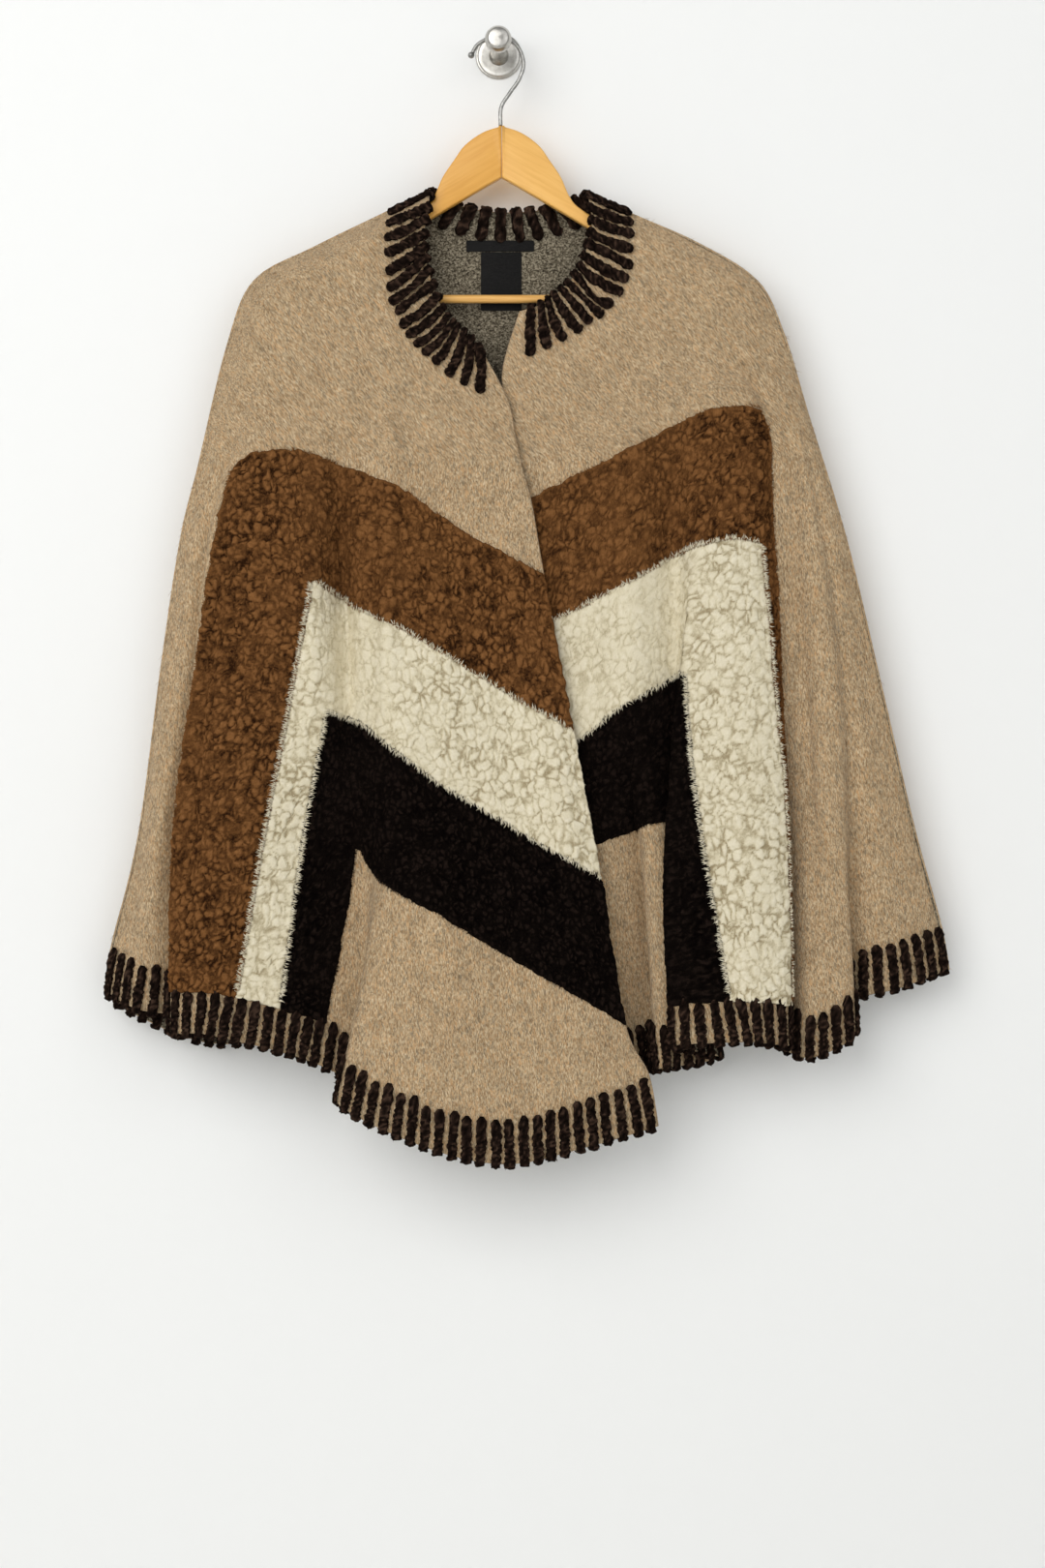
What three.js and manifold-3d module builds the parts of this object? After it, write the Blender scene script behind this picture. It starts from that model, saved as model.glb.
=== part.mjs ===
// A felted wool cape with curly pile bands, hanging on a wooden hanger from a steel wall hook.
// Millimetres, +Z up, the wall is the plane Y = 0 and the cape hangs on its -Y side.
// The origin is the centre of the hook plate's back face.
import * as THREE from "three";
import { mergeVertices } from "three/addons/utils/BufferGeometryUtils.js";
import Module from "manifold-3d";

const wasm = await Module();
wasm.setup();

// Driving sizes
const CLOTH = 3;
const SEAM_GAP = 0.3;
const BAND_SEAM_GAP = 1.2;
const BORDER_DRAW = 1.5;
const PILE = 4;
const YARN = 2.6;
const BAR_PITCH = 12;
const BAR_LENGTH = 43;
const BAR_PROFILE = [{ at: 0, height: 0 }, { at: 0.2, height: 1 }, { at: 0.8, height: 1 }];
const BAR_ROOT_TAPER = 5;
const BAR_OVERHANG = 0.4 * YARN;
const INSIDE_WRAP = 22;
const INSIDE_TAPER = 4;
const HANGER_WIDTH = 445;
const HANGER_THICKNESS = 10;
const HANGER_OUT = 35;
const HANGER_BEVEL = 1.5;
const RAIL_RADIUS = 3.7;
const WIRE_RADIUS = 1.75;
const WIRE_BALL_RADIUS = 3;
const PLATE_RADIUS = 21;
const PLATE_THICKNESS = 3;
const PLATE_BEVEL = 1;
const KNOB_RADIUS = 11.7;
const KNOB_OUT = 64;
const STEM_RADIUS = 6;
const ROUND_SIDES = { rail: 12, wire: 8, plate: 28, knob: 20 };
const WIRE_STEPS = 30;
const WELD_WITHIN = 1e-3;

// The front view: outlines are read as across and down in the picture's own units, and the
// hanger's real width sets how many millimetres one unit is. The eye is EYE_OUT from the wall.
const EYE_OUT = 2435;
const VIEW_CENTRE = { across: 540, down: 810 };
const HOOK_AT = { across: 515.5, down: 58.4 };
const HANGER_UNITS = 516;
const UNIT_AT_WALL = (HANGER_WIDTH / HANGER_UNITS) * (EYE_OUT / (EYE_OUT - HANGER_OUT));

// The point seen at (across, down) in the front view that stands out from the wall.
function place(across, down, out) {
  const nearer = 1 - out / EYE_OUT;
  const x = (across - VIEW_CENTRE.across) * nearer + VIEW_CENTRE.across - HOOK_AT.across;
  const z = (VIEW_CENTRE.down - down) * nearer - VIEW_CENTRE.down + HOOK_AT.down;
  return new THREE.Vector3(x * UNIT_AT_WALL, -out, z * UNIT_AT_WALL);
}

// Cross lines, each [across, down]: the neck edge of the cloth, the line over the shoulder,
// and the four pile borders. The side and front edge have a point on every line.
const LEFT_FRONT = {
  neckEdge: [[524, 412], [495, 409], [462, 390], [434, 368], [414, 340], [402, 317], [397, 280],
    [397, 246], [400, 218]],
  neckOpening: [[500, 365], [489, 353], [478, 342], [462, 330], [450, 305], [442, 279],
    [437, 248], [441, 215], [443, 195]],
  shoulderLine: [[538, 478], [478, 455], [418, 428], [352, 388], [300, 340], [262, 290]],
  chestLine: [[204, 482], [242, 472], [294, 464], [332, 473], [414, 506], [480, 551], [562, 595]],
  bustLine: [[186, 556], [225, 562], [320, 599], [370, 628], [416, 650], [480, 689], [590, 755]],
  waistLine: [[166, 690], [200, 700], [283, 722], [335, 735], [389, 754], [430, 797],
    [539, 862], [622, 908]],
  hipLine: [[143, 862], [270, 872], [366, 874], [397, 913], [456, 946], [540, 996], [646, 1057]],
  side: [[400, 218], [324, 255], [262, 290], [234, 357], [204, 482], [186, 556], [166, 690],
    [143, 862], [115, 975], [108, 1023]],
  frontEdge: [[524, 412], [531, 445], [538, 478], [549, 520], [562, 595], [592, 755],
    [621, 908], [646, 1057], [670, 1110], [680, 1163]],
  neckOut: 54,
  shoulderOut: 60,
};
const RIGHT_FRONT = {
  neckEdge: [[521, 376], [548, 369], [566, 364], [589, 351], [602, 345], [612, 333], [625, 326],
    [636, 316], [651, 293], [657, 262], [657, 244], [655, 221]],
  neckOpening: [[537, 322], [550, 319], [564, 313], [585, 296], [600, 277], [608, 254],
    [613, 231], [609, 198]],
  shoulderLine: [[521, 440], [590, 425], [650, 390], [710, 345], [755, 305], [783, 290]],
  chestLine: [[520, 530], [551, 513], [610, 486], [668, 456], [724, 427], [770, 419], [836, 428]],
  bustLine: [[530, 660], [575, 639], [649, 602], [698, 572], [750, 555], [785, 560], [874, 552]],
  waistLine: [[545, 800], [601, 764], [640, 732], [702, 697], [797, 690], [907, 690]],
  hipLine: [[570, 890], [622, 868], [694, 843], [800, 850], [944, 850]],
  side: [[655, 221], [722, 251], [783, 290], [811, 345], [836, 428], [874, 552], [907, 690],
    [944, 850], [972, 952], [981, 1001]],
  frontEdge: [[521, 376], [520, 408], [521, 440], [522, 485], [523, 528], [530, 660],
    [552, 795], [572, 889], [612, 1058], [625, 1108]],
  neckOut: 45.5,
  shoulderOut: 50,
};

// Fold lines, from the front edge round to the side seam. neck is the share of the neck edge,
// chest to hem are across, hemDown is down, and each ...Out is how far it stands out there.
const FOLD_COLUMNS = ["neck", "chest", "bust", "waist", "hip", "hem", "hemDown",
  "chestOut", "waistOut", "hipOut", "hemOut"];
const LEFT_FOLDS = {
  frontRoll: [0.13, 520, 538, 560, 590, 600, 1186, 68, 82, 94, 102],
  frontHollow: [0.24, 475, 488, 500, 520, 522, 1202, 67, 82, 96, 108],
  frontSwell: [0.34, 446, 450, 452, 456, 438, 1184, 68, 86, 102, 112],
  deepEdge: [0.44, 414, 416, 414, 400, 350, 1141, 70, 88, 96, 98],
  deepHollow: [0.53, 356, 364, 378, 382, 368, 1122, 64, 72, 72, 62],
  darkBorder: [0.58, 338, 350, 357, 366, 329, 1099, 63, 68, 68, 66],
  creamBorder: [0.63, 318, 336, 335, 312, 283, 1084, 63, 72, 76, 80],
  brownBorder: [0.68, 300, 320, 299, 271, 236, 1073, 64, 78, 86, 88],
  brownMiddle: [0.75, 270, 270, 248, 222, 205, 1067, 65, 80, 90, 94],
  sideEdge: [0.83, 242, 221, 201, 180, 176, 1066, 61, 73, 77, 80],
  sideHollow: [0.88, 234, 214, 203, 188, 194, 1050, 55, 54, 50, 48],
  sideMiddle: [0.94, 220, 201, 186, 164, 142, 1042, 50, 55, 58, 60],
};
const RIGHT_FOLDS = {
  underLap: [0.14, 575, 585, 605, 618, 655, 1106, 54, 60, 62, 62],
  innerSwell: [0.26, 636, 642, 650, 664, 686, 1103, 62, 70, 74, 74],
  panelHollow: [0.38, 684, 690, 696, 706, 742, 1092, 58, 60, 56, 44],
  panelEdge: [0.45, 712, 712, 704, 694, 697, 1080, 62, 72, 84, 92],
  creamBorder: [0.5, 728, 726, 710, 722, 762, 1076, 65, 78, 88, 92],
  creamMiddle: [0.6, 756, 757, 758, 768, 790, 1077, 66, 80, 88, 92],
  brownBorder: [0.7, 780, 786, 797, 811, 817, 1080, 62, 72, 78, 80],
  brownEdge: [0.76, 790, 799, 806, 812, 806, 1081, 54, 54, 54, 52],
  pleatSwell: [0.82, 806, 822, 832, 842, 838, 1092, 56, 64, 70, 72],
  pleatEdge: [0.87, 818, 842, 858, 870, 884, 1069, 55, 62, 66, 66],
  pleatHollow: [0.91, 825, 851, 868, 880, 872, 1036, 51, 52, 48, 44],
  sideMiddle: [0.95, 831, 862, 885, 910, 930, 1020, 47, 52, 54, 54],
};

// The back panel: how far down its middle hangs on each line, and how far out it lies there.
const BACK_LINES = {
  neck: { down: 262, out: 21.5 },
  yoke: { down: 302, out: 21 },
  shoulder: { down: 352, out: 19 },
  armhole: { down: 408, out: 18 },
  chest: { down: 480, out: 18 },
  bust: { down: 572, out: 18 },
  waist: { down: 705, out: 19 },
  hip: { down: 860, out: 20 },
};
const BACK_HEM = [[108, 1023], [143, 1050], [176, 1070], [200, 1081], [243, 1073], [330, 1068],
  [520, 1064], [700, 1060], [800, 1050], [870, 1030], [930, 1012], [981, 1001]];
const BACK_HEM_OUT = 20;
const BACK_NECK_DOWN = 221;
const BACK_NECK_OUT = 21;
const BACK_SHARES = [0, 0.035, 0.13, 0.26, 0.38, 0.5, 0.62, 0.74, 0.87, 0.965, 1];
const BACK_FOLDS = 4.5;
const BACK_FOLD_DEPTH = 4;
const BACK_FOLD_GROWTH = 1.5;
const NECK_ARCH = 0.6;

// How far the side seams and the front edges stand out on each line
const SIDE_OUT = { neck: 36, shoulder: 38, chest: 40, waist: 38, hip: 37, hem: 35 };
const EDGE_OUT = {
  left: { neck: 54, shoulder: 60, chest: 66, waist: 76, hip: 84, hem: 92 },
  right: { neck: 45.5, shoulder: 49, chest: 50, waist: 55, hip: 58, hem: 59 },
};
const NECK_TURN_IN = 2;
const HEM_TOP_SHARE = 0.7;

// How sharply the cloth falls to the seam on the shoulder ridge, and at the back's side seams
const RIDGE_SHARPNESS = 30;
const SEAM_SHARPNESS = 24;

// How many steps the finished grid takes between one cross line and the next
const LINE_STEPS = [1, 1, 1, 1, 2, 2, 2, 2];
const FOLD_STEPS = 2;
const LINE = { neck: 0, shoulder: 2, chest: 4, bust: 6, waist: 8, hip: 10, hemTop: 12 };

const COLOUR = {
  beige: 0xbda588,
  brown: 0x7d5532,
  cream: 0xe2dbc8,
  dark: 0x261a18,
  black: 0x141416,
  beech: 0xe8b262,
  steel: 0xb4b4ae,
};

function finish(colour, roughness, metalness = 0) {
  return new THREE.MeshStandardMaterial({ color: colour, roughness, metalness });
}

const FINISH = {
  beige: finish(COLOUR.beige, 0.95),
  brown: finish(COLOUR.brown, 1),
  cream: finish(COLOUR.cream, 1),
  dark: finish(COLOUR.dark, 1),
  black: finish(COLOUR.black, 0.7),
  beech: finish(COLOUR.beech, 0.35),
  steel: finish(COLOUR.steel, 0.3, 1),
};

const cape = new THREE.Group();

function add(name, geometry, material, group = cape) {
  const mesh = new THREE.Mesh(geometry, material);
  mesh.name = name;
  group.add(mesh);
  return mesh;
}

function mix(a, b, share) {
  return a + (b - a) * share;
}

// Down at a given across on a cross line, whose points run from one side to the other.
function downAt(line, across) {
  const last = line.length - 2;
  let k = line.findIndex(([x], i) => i > 0 && across <= x) - 1;
  if (k < 0) k = across <= line[0][0] ? 0 : last;
  const share = (across - line[k][0]) / (line[k + 1][0] - line[k][0]);
  return mix(line[k][1], line[k + 1][1], THREE.MathUtils.clamp(share, 0, 1));
}

// The point at a share of a line's own length.
function alongLine(line, share) {
  const points = line.map(([x, y]) => new THREE.Vector3(x, y, 0));
  const path = new THREE.CurvePath();
  for (let i = 1; i < points.length; i++) path.add(new THREE.LineCurve3(points[i - 1], points[i]));
  const p = path.getPoint(share);
  return [p.x, p.y];
}

// Stand-off along the neck or shoulder: full in front, falling to the seam on the ridge.
function yokeOut(front, ridge, share) {
  return mix(front, ridge, share ** RIDGE_SHARPNESS);
}

// A curve through the points, with steps[i] steps in span i (Catmull-Rom, straight ends).
function through(points, steps) {
  const at = (i) => points[THREE.MathUtils.clamp(i, 0, points.length - 1)];
  const out = [points[0].clone()];
  for (let i = 0; i < points.length - 1; i++) {
    const before = i > 0 ? at(i - 1) : at(0).clone().multiplyScalar(2).sub(at(1));
    const after = i < points.length - 2 ? at(i + 2) : at(i + 1).clone().multiplyScalar(2).sub(at(i));
    const count = Array.isArray(steps) ? steps[i] : steps;
    for (let k = 1; k <= count; k++) {
      const t = k / count;
      const p = new THREE.Vector3();
      p.addScaledVector(before, ((2 - t) * t - 1) * t * 0.5);
      p.addScaledVector(at(i), ((3 * t - 5) * t * t + 2) * 0.5);
      p.addScaledVector(at(i + 1), ((4 - 3 * t) * t + 1) * t * 0.5);
      p.addScaledVector(after, (t - 1) * t * t * 0.5);
      out.push(p);
    }
  }
  return out;
}

// One fold's points on every cross line, neck to hem.
function foldPoints(panel, fold) {
  const f = Object.fromEntries(FOLD_COLUMNS.map((key, i) => [key, fold[i]]));
  const neck = alongLine(panel.neckEdge, f.neck);
  const shoulder = alongLine(panel.shoulderLine, f.neck);
  const chest = [f.chest, downAt(panel.chestLine, f.chest)];
  const between = (a, b) => [mix(a[0], b[0], 0.5), mix(a[1], b[1], 0.5)];
  const hip = [f.hip, downAt(panel.hipLine, f.hip)];
  const hem = [f.hem, f.hemDown];
  const bandShare = BAR_LENGTH / UNIT_AT_WALL / (hem[1] - hip[1]);
  const hemTop = [mix(hem[0], hip[0], bandShare), mix(hem[1], hip[1], bandShare)];
  const neckOut = yokeOut(panel.neckOut, SIDE_OUT.neck, f.neck);
  const shoulderOut = yokeOut(panel.shoulderOut, SIDE_OUT.shoulder, f.neck);
  return [
    place(...neck, neckOut),
    place(...between(neck, shoulder), mix(neckOut, shoulderOut, 0.5)),
    place(...shoulder, shoulderOut),
    place(...between(shoulder, chest), mix(shoulderOut, f.chestOut, 0.5)),
    place(...chest, f.chestOut),
    place(f.bust, downAt(panel.bustLine, f.bust), mix(f.chestOut, f.waistOut, 0.5)),
    place(f.waist, downAt(panel.waistLine, f.waist), f.waistOut),
    place(...hip, f.hipOut),
    place(...hemTop, mix(f.hemOut, f.hipOut, bandShare)),
    place(...hem, f.hemOut),
  ];
}

// Stand-off on every cross line for an edge that has no row in the fold table.
function edgeOuts({ neck, shoulder, chest, waist, hip, hem }) {
  return [neck, mix(neck, shoulder, 0.5), shoulder, mix(shoulder, chest, 0.5), chest,
    mix(chest, waist, 0.5), waist, hip, mix(hip, hem, HEM_TOP_SHARE), hem];
}

const SIDE_OUTS = edgeOuts(SIDE_OUT);

// The grid of a sheet's outer face. columns[i][j] is fold i at cross line j; the result is
// rows from the neck to the hem, each a smooth curve across the folds.
function gridThrough(columns) {
  const steps = [...LINE_STEPS, 1];
  const fine = columns.map((points) => through(points, steps));
  return fine[0].map((_, j) => through(fine.map((points) => points[j]), FOLD_STEPS));
}

function frontGrid(panel, folds, edgeOut) {
  const edge = panel.frontEdge.map(([x, y], j) => place(x, y, edgeOut[j]));
  const side = panel.side.map(([x, y], j) => place(x, y, SIDE_OUTS[j]));
  const inside = Object.values(folds).map((fold) => foldPoints(panel, fold));
  return gridThrough([edge, ...inside, side]);
}

// 1 on either side seam of the back and almost 0 from a few centimetres inside it.
function nearSeam(share) {
  return Math.abs(2 * share - 1) ** SEAM_SHARPNESS;
}

// The back runs from the left side seam to the right one: each line sags to its own middle,
// soft folds grow towards the hem, and the last two lines follow the hem.
function backGrid() {
  const lines = Object.values(BACK_LINES);
  const columns = BACK_SHARES.map((s) => {
    const arch = Math.sqrt(Math.max(0, Math.sin(Math.PI * s)));
    return LEFT_FRONT.side.map((left, j) => {
      const right = RIGHT_FRONT.side[j];
      const across = mix(left[0], right[0], s);
      const { down, out } = lines[j] ?? { down: 0, out: BACK_HEM_OUT };
      const grown = (j / (SIDE_OUTS.length - 1)) ** BACK_FOLD_GROWTH;
      const wave = Math.sin(BACK_FOLDS * 2 * Math.PI * s) * BACK_FOLD_DEPTH * grown;
      const depth = mix(out + wave, SIDE_OUTS[j] - SEAM_GAP * 2, nearSeam(s));
      if (j < lines.length) return place(across, mix(mix(left[1], right[1], s), down, arch), depth);
      const aboveHem = j === lines.length ? BAR_LENGTH / UNIT_AT_WALL : 0;
      return place(across, downAt(BACK_HEM, across) - aboveHem, depth);
    });
  });
  return gridThrough(columns);
}

// Normals of a grid's points: the sum of the crossed edges of the cells around each one.
function gridNormals(grid, facing) {
  const rows = grid.length - 1;
  const cols = grid[0].length - 1;
  const normals = grid.map((row) => row.map(() => new THREE.Vector3()));
  for (let j = 0; j < rows; j++)
    for (let i = 0; i < cols; i++) {
      const across = grid[j][i + 1].clone().sub(grid[j][i]);
      across.add(grid[j + 1][i + 1]).sub(grid[j + 1][i]);
      const down = grid[j + 1][i].clone().sub(grid[j][i]);
      down.add(grid[j + 1][i + 1]).sub(grid[j][i + 1]);
      const n = across.cross(down).multiplyScalar(facing).normalize();
      for (const [dj, di] of [[0, 0], [0, 1], [1, 0], [1, 1]]) normals[j + dj][i + di].add(n);
    }
  return normals.map((row) => row.map((n) => n.normalize()));
}

// On the side seam the cloth's thickness lies in the seam's own plane.
function squareSeam(normals, column) {
  for (const row of normals) {
    row[column].y = 0;
    row[column].normalize();
  }
}

// A closed wall on a grid: outside and inside give each point's place, covers says which cells
// it has. Border points are drawn in by half a seam gap where shrink is set.
function wall(grid, normals, facing, lift, thickness, covers = () => true, shrink = 0) {
  const rows = grid.length - 1;
  const cols = grid[0].length - 1;
  const has = (j, i) => j >= 0 && i >= 0 && j < rows && i < cols && covers(j, i);
  const width = cols + 1;
  const positions = [];
  const index = [];
  for (const out of [lift + thickness, lift])
    for (let j = 0; j <= rows; j++)
      for (let i = 0; i <= cols; i++) {
        const p = grid[j][i].clone().addScaledVector(normals[j][i], out);
        const near = [[j - 1, i - 1], [j - 1, i], [j, i - 1], [j, i]].filter(([a, b]) => has(a, b));
        if (shrink && near.length && near.length < 4) {
          const middle = new THREE.Vector3();
          for (const [a, b] of near)
            for (const q of [grid[a][b], grid[a][b + 1], grid[a + 1][b], grid[a + 1][b + 1]])
              middle.addScaledVector(q, 0.25 / near.length);
          middle.sub(grid[j][i]);
          middle.addScaledVector(normals[j][i], -middle.dot(normals[j][i]));
          p.addScaledVector(middle.normalize(), shrink * BORDER_DRAW);
          p.addScaledVector(normals[j][i], shrink);
        }
        positions.push(p.x, p.y, p.z);
      }
  const outer = (j, i) => j * width + i;
  const inner = (j, i) => (rows + 1) * width + j * width + i;
  const quad = (a, b, c, d) => {
    if (facing > 0) index.push(a, b, c, a, c, d);
    else index.push(a, c, b, a, d, c);
  };
  for (let j = 0; j < rows; j++)
    for (let i = 0; i < cols; i++) {
      if (!has(j, i)) continue;
      quad(outer(j, i), outer(j, i + 1), outer(j + 1, i + 1), outer(j + 1, i));
      quad(inner(j, i), inner(j + 1, i), inner(j + 1, i + 1), inner(j, i + 1));
      if (!has(j - 1, i)) quad(outer(j, i + 1), outer(j, i), inner(j, i), inner(j, i + 1));
      if (!has(j + 1, i))
        quad(outer(j + 1, i), outer(j + 1, i + 1), inner(j + 1, i + 1), inner(j + 1, i));
      if (!has(j, i - 1)) quad(outer(j, i), outer(j + 1, i), inner(j + 1, i), inner(j, i));
      if (!has(j, i + 1))
        quad(outer(j + 1, i + 1), outer(j, i + 1), inner(j, i + 1), inner(j + 1, i + 1));
    }
  const geometry = new THREE.BufferGeometry();
  geometry.setAttribute("position", new THREE.Float32BufferAttribute(positions, 3));
  geometry.setIndex(index);
  return geometry;
}

// The points and normals at a distance along a grid row, straight between its own points.
function rowSampler(points, normals) {
  const lengths = [0];
  for (let i = 1; i < points.length; i++)
    lengths.push(lengths[i - 1] + points[i].distanceTo(points[i - 1]));
  const total = lengths[lengths.length - 1];
  return {
    total,
    share(distance) {
      const k = Math.max(1, lengths.findIndex((l, i) => i > 0 && distance <= l + 1e-6));
      const t = (distance - lengths[k - 1]) / (lengths[k] - lengths[k - 1]);
      return [k - 1, THREE.MathUtils.clamp(t, 0, 1)];
    },
    point: (k, t) => points[k].clone().lerp(points[k + 1], t),
    normal: (k, t) => normals[k].clone().lerp(normals[k + 1], t),
  };
}

// An edge band with whip-stitch bars raised in its outer points over a plain inside. root is
// the band's sewn edge and edge its free edge, each { points, normals } column by column.
// wrap is how long the bars show on the inside, or 0 where that side is hidden.
function stitchedBand(root, edge, facing, wrap = 0) {
  const top = rowSampler(root.points, root.normals);
  const low = rowSampler(edge.points, edge.normals);
  const bars = Math.round(low.total / BAR_PITCH);
  const rows = [];
  for (let b = 0; b <= bars; b++)
    for (const { at, height } of b < bars ? BAR_PROFILE : BAR_PROFILE.slice(0, 1)) {
      const [k, t] = low.share((low.total * (b + at)) / bars);
      const from = top.point(k, t);
      const to = low.point(k, t);
      const n0 = top.normal(k, t);
      const n1 = low.normal(k, t);
      const way = to.clone().sub(from).normalize();
      from.addScaledVector(way, BAND_SEAM_GAP);
      const length = to.distanceTo(from);
      const near = from.clone().addScaledVector(way, BAR_ROOT_TAPER);
      const nearNormal = n0.clone().lerp(n1, BAR_ROOT_TAPER / length);
      const inside = to.clone().addScaledVector(n1, -CLOTH - (wrap ? YARN * height : 0));
      const overhang = BAR_OVERHANG * height;
      const column = [
        from.clone(),
        near.addScaledVector(nearNormal, YARN * height),
        to.clone().addScaledVector(n1, YARN * height).addScaledVector(way, overhang),
        inside.addScaledVector(way, wrap ? overhang : 0),
        from.clone().addScaledVector(n0, -CLOTH),
      ];
      if (wrap)
        for (const [back, raise] of [[wrap, 0], [wrap - INSIDE_TAPER, YARN * height]]) {
          const middle = to.clone().lerp(from, back / length);
          middle.addScaledVector(n1.clone().lerp(n0, back / length), -CLOTH - raise);
          column.splice(4, 0, middle);
        }
      rows.push(column);
    }
  return tubeOf(rows, facing);
}

// A closed body from rings of points, joined ring to ring and capped flat at both ends.
function tubeOf(rings, facing) {
  const n = rings[0].length;
  const positions = rings.flatMap((ring) => ring.flatMap((p) => [p.x, p.y, p.z]));
  const index = [];
  const face = (a, b, c) => (facing > 0 ? index.push(a, b, c) : index.push(a, c, b));
  for (let r = 0; r < rings.length - 1; r++)
    for (let k = 0; k < n; k++) {
      const a = r * n + k;
      const b = r * n + ((k + 1) % n);
      face(a, a + n, b + n);
      face(a, b + n, b);
    }
  const end = (rings.length - 1) * n;
  for (let k = 1; k < n - 1; k++) {
    face(0, k, k + 1);
    face(end, end + k + 1, end + k);
  }
  const geometry = new THREE.BufferGeometry();
  geometry.setAttribute("position", new THREE.Float32BufferAttribute(positions, 3));
  geometry.setIndex(index);
  return geometry;
}

// The free edge of a neck band: as many points as the neck edge's row, at the same shares.
function neckOpeningRow(line, row, outs) {
  const count = row.length - 1;
  return row.map((_, i) => place(...alongLine(line, i / count), outs(i / count)));
}

function solidFrom(geometry) {
  const bare = geometry.clone();
  bare.deleteAttribute("normal");
  bare.deleteAttribute("uv");
  const merged = mergeVertices(bare, WELD_WITHIN);
  const vertProperties = merged.attributes.position.array;
  const triVerts = new Uint32Array(merged.index.array);
  return new wasm.Manifold(new wasm.Mesh({ numProp: 3, vertProperties, triVerts }));
}

function geometryFrom(solid) {
  const mesh = solid.getMesh();
  const geometry = new THREE.BufferGeometry();
  geometry.setAttribute("position", new THREE.BufferAttribute(mesh.vertProperties, 3));
  geometry.setIndex(new THREE.BufferAttribute(mesh.triVerts, 1));
  return geometry;
}

// Cloth panels, their pile bands and their stitched edges
const PANELS = {
  left: {
    outline: LEFT_FRONT,
    facing: 1,
    grid: frontGrid(LEFT_FRONT, LEFT_FOLDS, edgeOuts(EDGE_OUT.left)),
    folds: ["frontEdge", ...Object.keys(LEFT_FOLDS), "side"],
    brown: ["sideEdge", "brownBorder"],
    cream: ["brownBorder", "creamBorder"],
    dark: ["creamBorder", "darkBorder"],
  },
  right: {
    outline: RIGHT_FRONT,
    facing: -1,
    grid: frontGrid(RIGHT_FRONT, RIGHT_FOLDS, edgeOuts(EDGE_OUT.right)),
    folds: ["frontEdge", ...Object.keys(RIGHT_FOLDS), "side"],
    brown: ["brownEdge", "brownBorder"],
    cream: ["brownBorder", "creamBorder"],
    dark: ["creamBorder", "panelHollow"],
    darkStopsBefore: 1,
  },
};
const BAND_LINES = { brown: ["chest", "bust"], cream: ["bust", "waist"], dark: ["waist", "hip"] };

// A pile band is an L of the panel's cells: across between two cross lines as far as its outer
// fold, and down between its two folds to the top of the hem band.
function bandCover(panel, colour) {
  const [top, bottom] = BAND_LINES[colour].map((name) => LINE[name]);
  const [outerFold, innerFold] = panel[colour].map((name) => panel.folds.indexOf(name) * FOLD_STEPS);
  const upright = innerFold + (panel[`${colour}StopsBefore`] ?? 0);
  return (j, i) => i < outerFold && j >= top && (j < bottom || (i >= upright && j < LINE.hemTop));
}

function buildFront(side) {
  const panel = PANELS[side];
  const { grid, facing } = panel;
  const normals = gridNormals(grid, facing);
  squareSeam(normals, grid[0].length - 1);
  const body = grid.slice(0, LINE.hemTop + 1);
  const bodyNormals = normals.slice(0, LINE.hemTop + 1);
  add(`front_${side}`, wall(body, bodyNormals, facing, -CLOTH, CLOTH), FINISH.beige);
  for (const colour of Object.keys(BAND_LINES)) {
    const covers = bandCover(panel, colour);
    const geometry = wall(body, bodyNormals, facing, SEAM_GAP, PILE, covers, SEAM_GAP);
    add(`${colour}_band_${side}`, geometry, FINISH[colour]);
  }
  const hemTop = { points: grid[LINE.hemTop], normals: normals[LINE.hemTop] };
  const hem = { points: grid[LINE.hemTop + 1], normals: normals[LINE.hemTop + 1] };
  add(`hem_band_${side}`, stitchedBand(hemTop, hem, facing), FINISH.dark);
  const neckOut = (s) => yokeOut(panel.outline.neckOut - NECK_TURN_IN, SIDE_OUT.neck, s);
  const opening = neckOpeningRow(panel.outline.neckOpening, grid[0], neckOut);
  const neck = { points: grid[0], normals: normals[0] };
  const free = { points: opening, normals: normals[0] };
  add(`neck_band_${side}`, stitchedBand(neck, free, -facing), FINISH.dark);
}

function buildBack() {
  const grid = backGrid();
  const facing = 1;
  const normals = gridNormals(grid, facing);
  squareSeam(normals, 0);
  squareSeam(normals, grid[0].length - 1);
  const body = grid.slice(0, LINE.hemTop + 1);
  add("back", wall(body, normals.slice(0, LINE.hemTop + 1), facing, -CLOTH, CLOTH), FINISH.beige);
  const hemTop = { points: grid[LINE.hemTop], normals: normals[LINE.hemTop] };
  const hem = { points: grid[LINE.hemTop + 1], normals: normals[LINE.hemTop + 1] };
  add("hem_band_back", stitchedBand(hemTop, hem, facing), FINISH.dark);
  const neckEnds = [grid[0][0], grid[0].at(-1)];
  const ends = [LEFT_FRONT.neckOpening.at(-1), RIGHT_FRONT.neckOpening.at(-1)];
  const opening = grid[0].map((p) => {
    const s = (p.x - neckEnds[0].x) / (neckEnds[1].x - neckEnds[0].x);
    const arch = Math.max(0, Math.sin(Math.PI * s)) ** NECK_ARCH;
    const down = mix(mix(ends[0][1], ends[1][1], s), BACK_NECK_DOWN, arch);
    const out = mix(BACK_NECK_OUT, -neckEnds[0].y, nearSeam(s));
    return place(mix(ends[0][0], ends[1][0], s), down, out);
  });
  const neck = { points: grid[0], normals: normals[0] };
  const free = { points: opening, normals: normals[0] };
  add("neck_band_back", stitchedBand(neck, free, -facing, INSIDE_WRAP), FINISH.dark);
}

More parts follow.
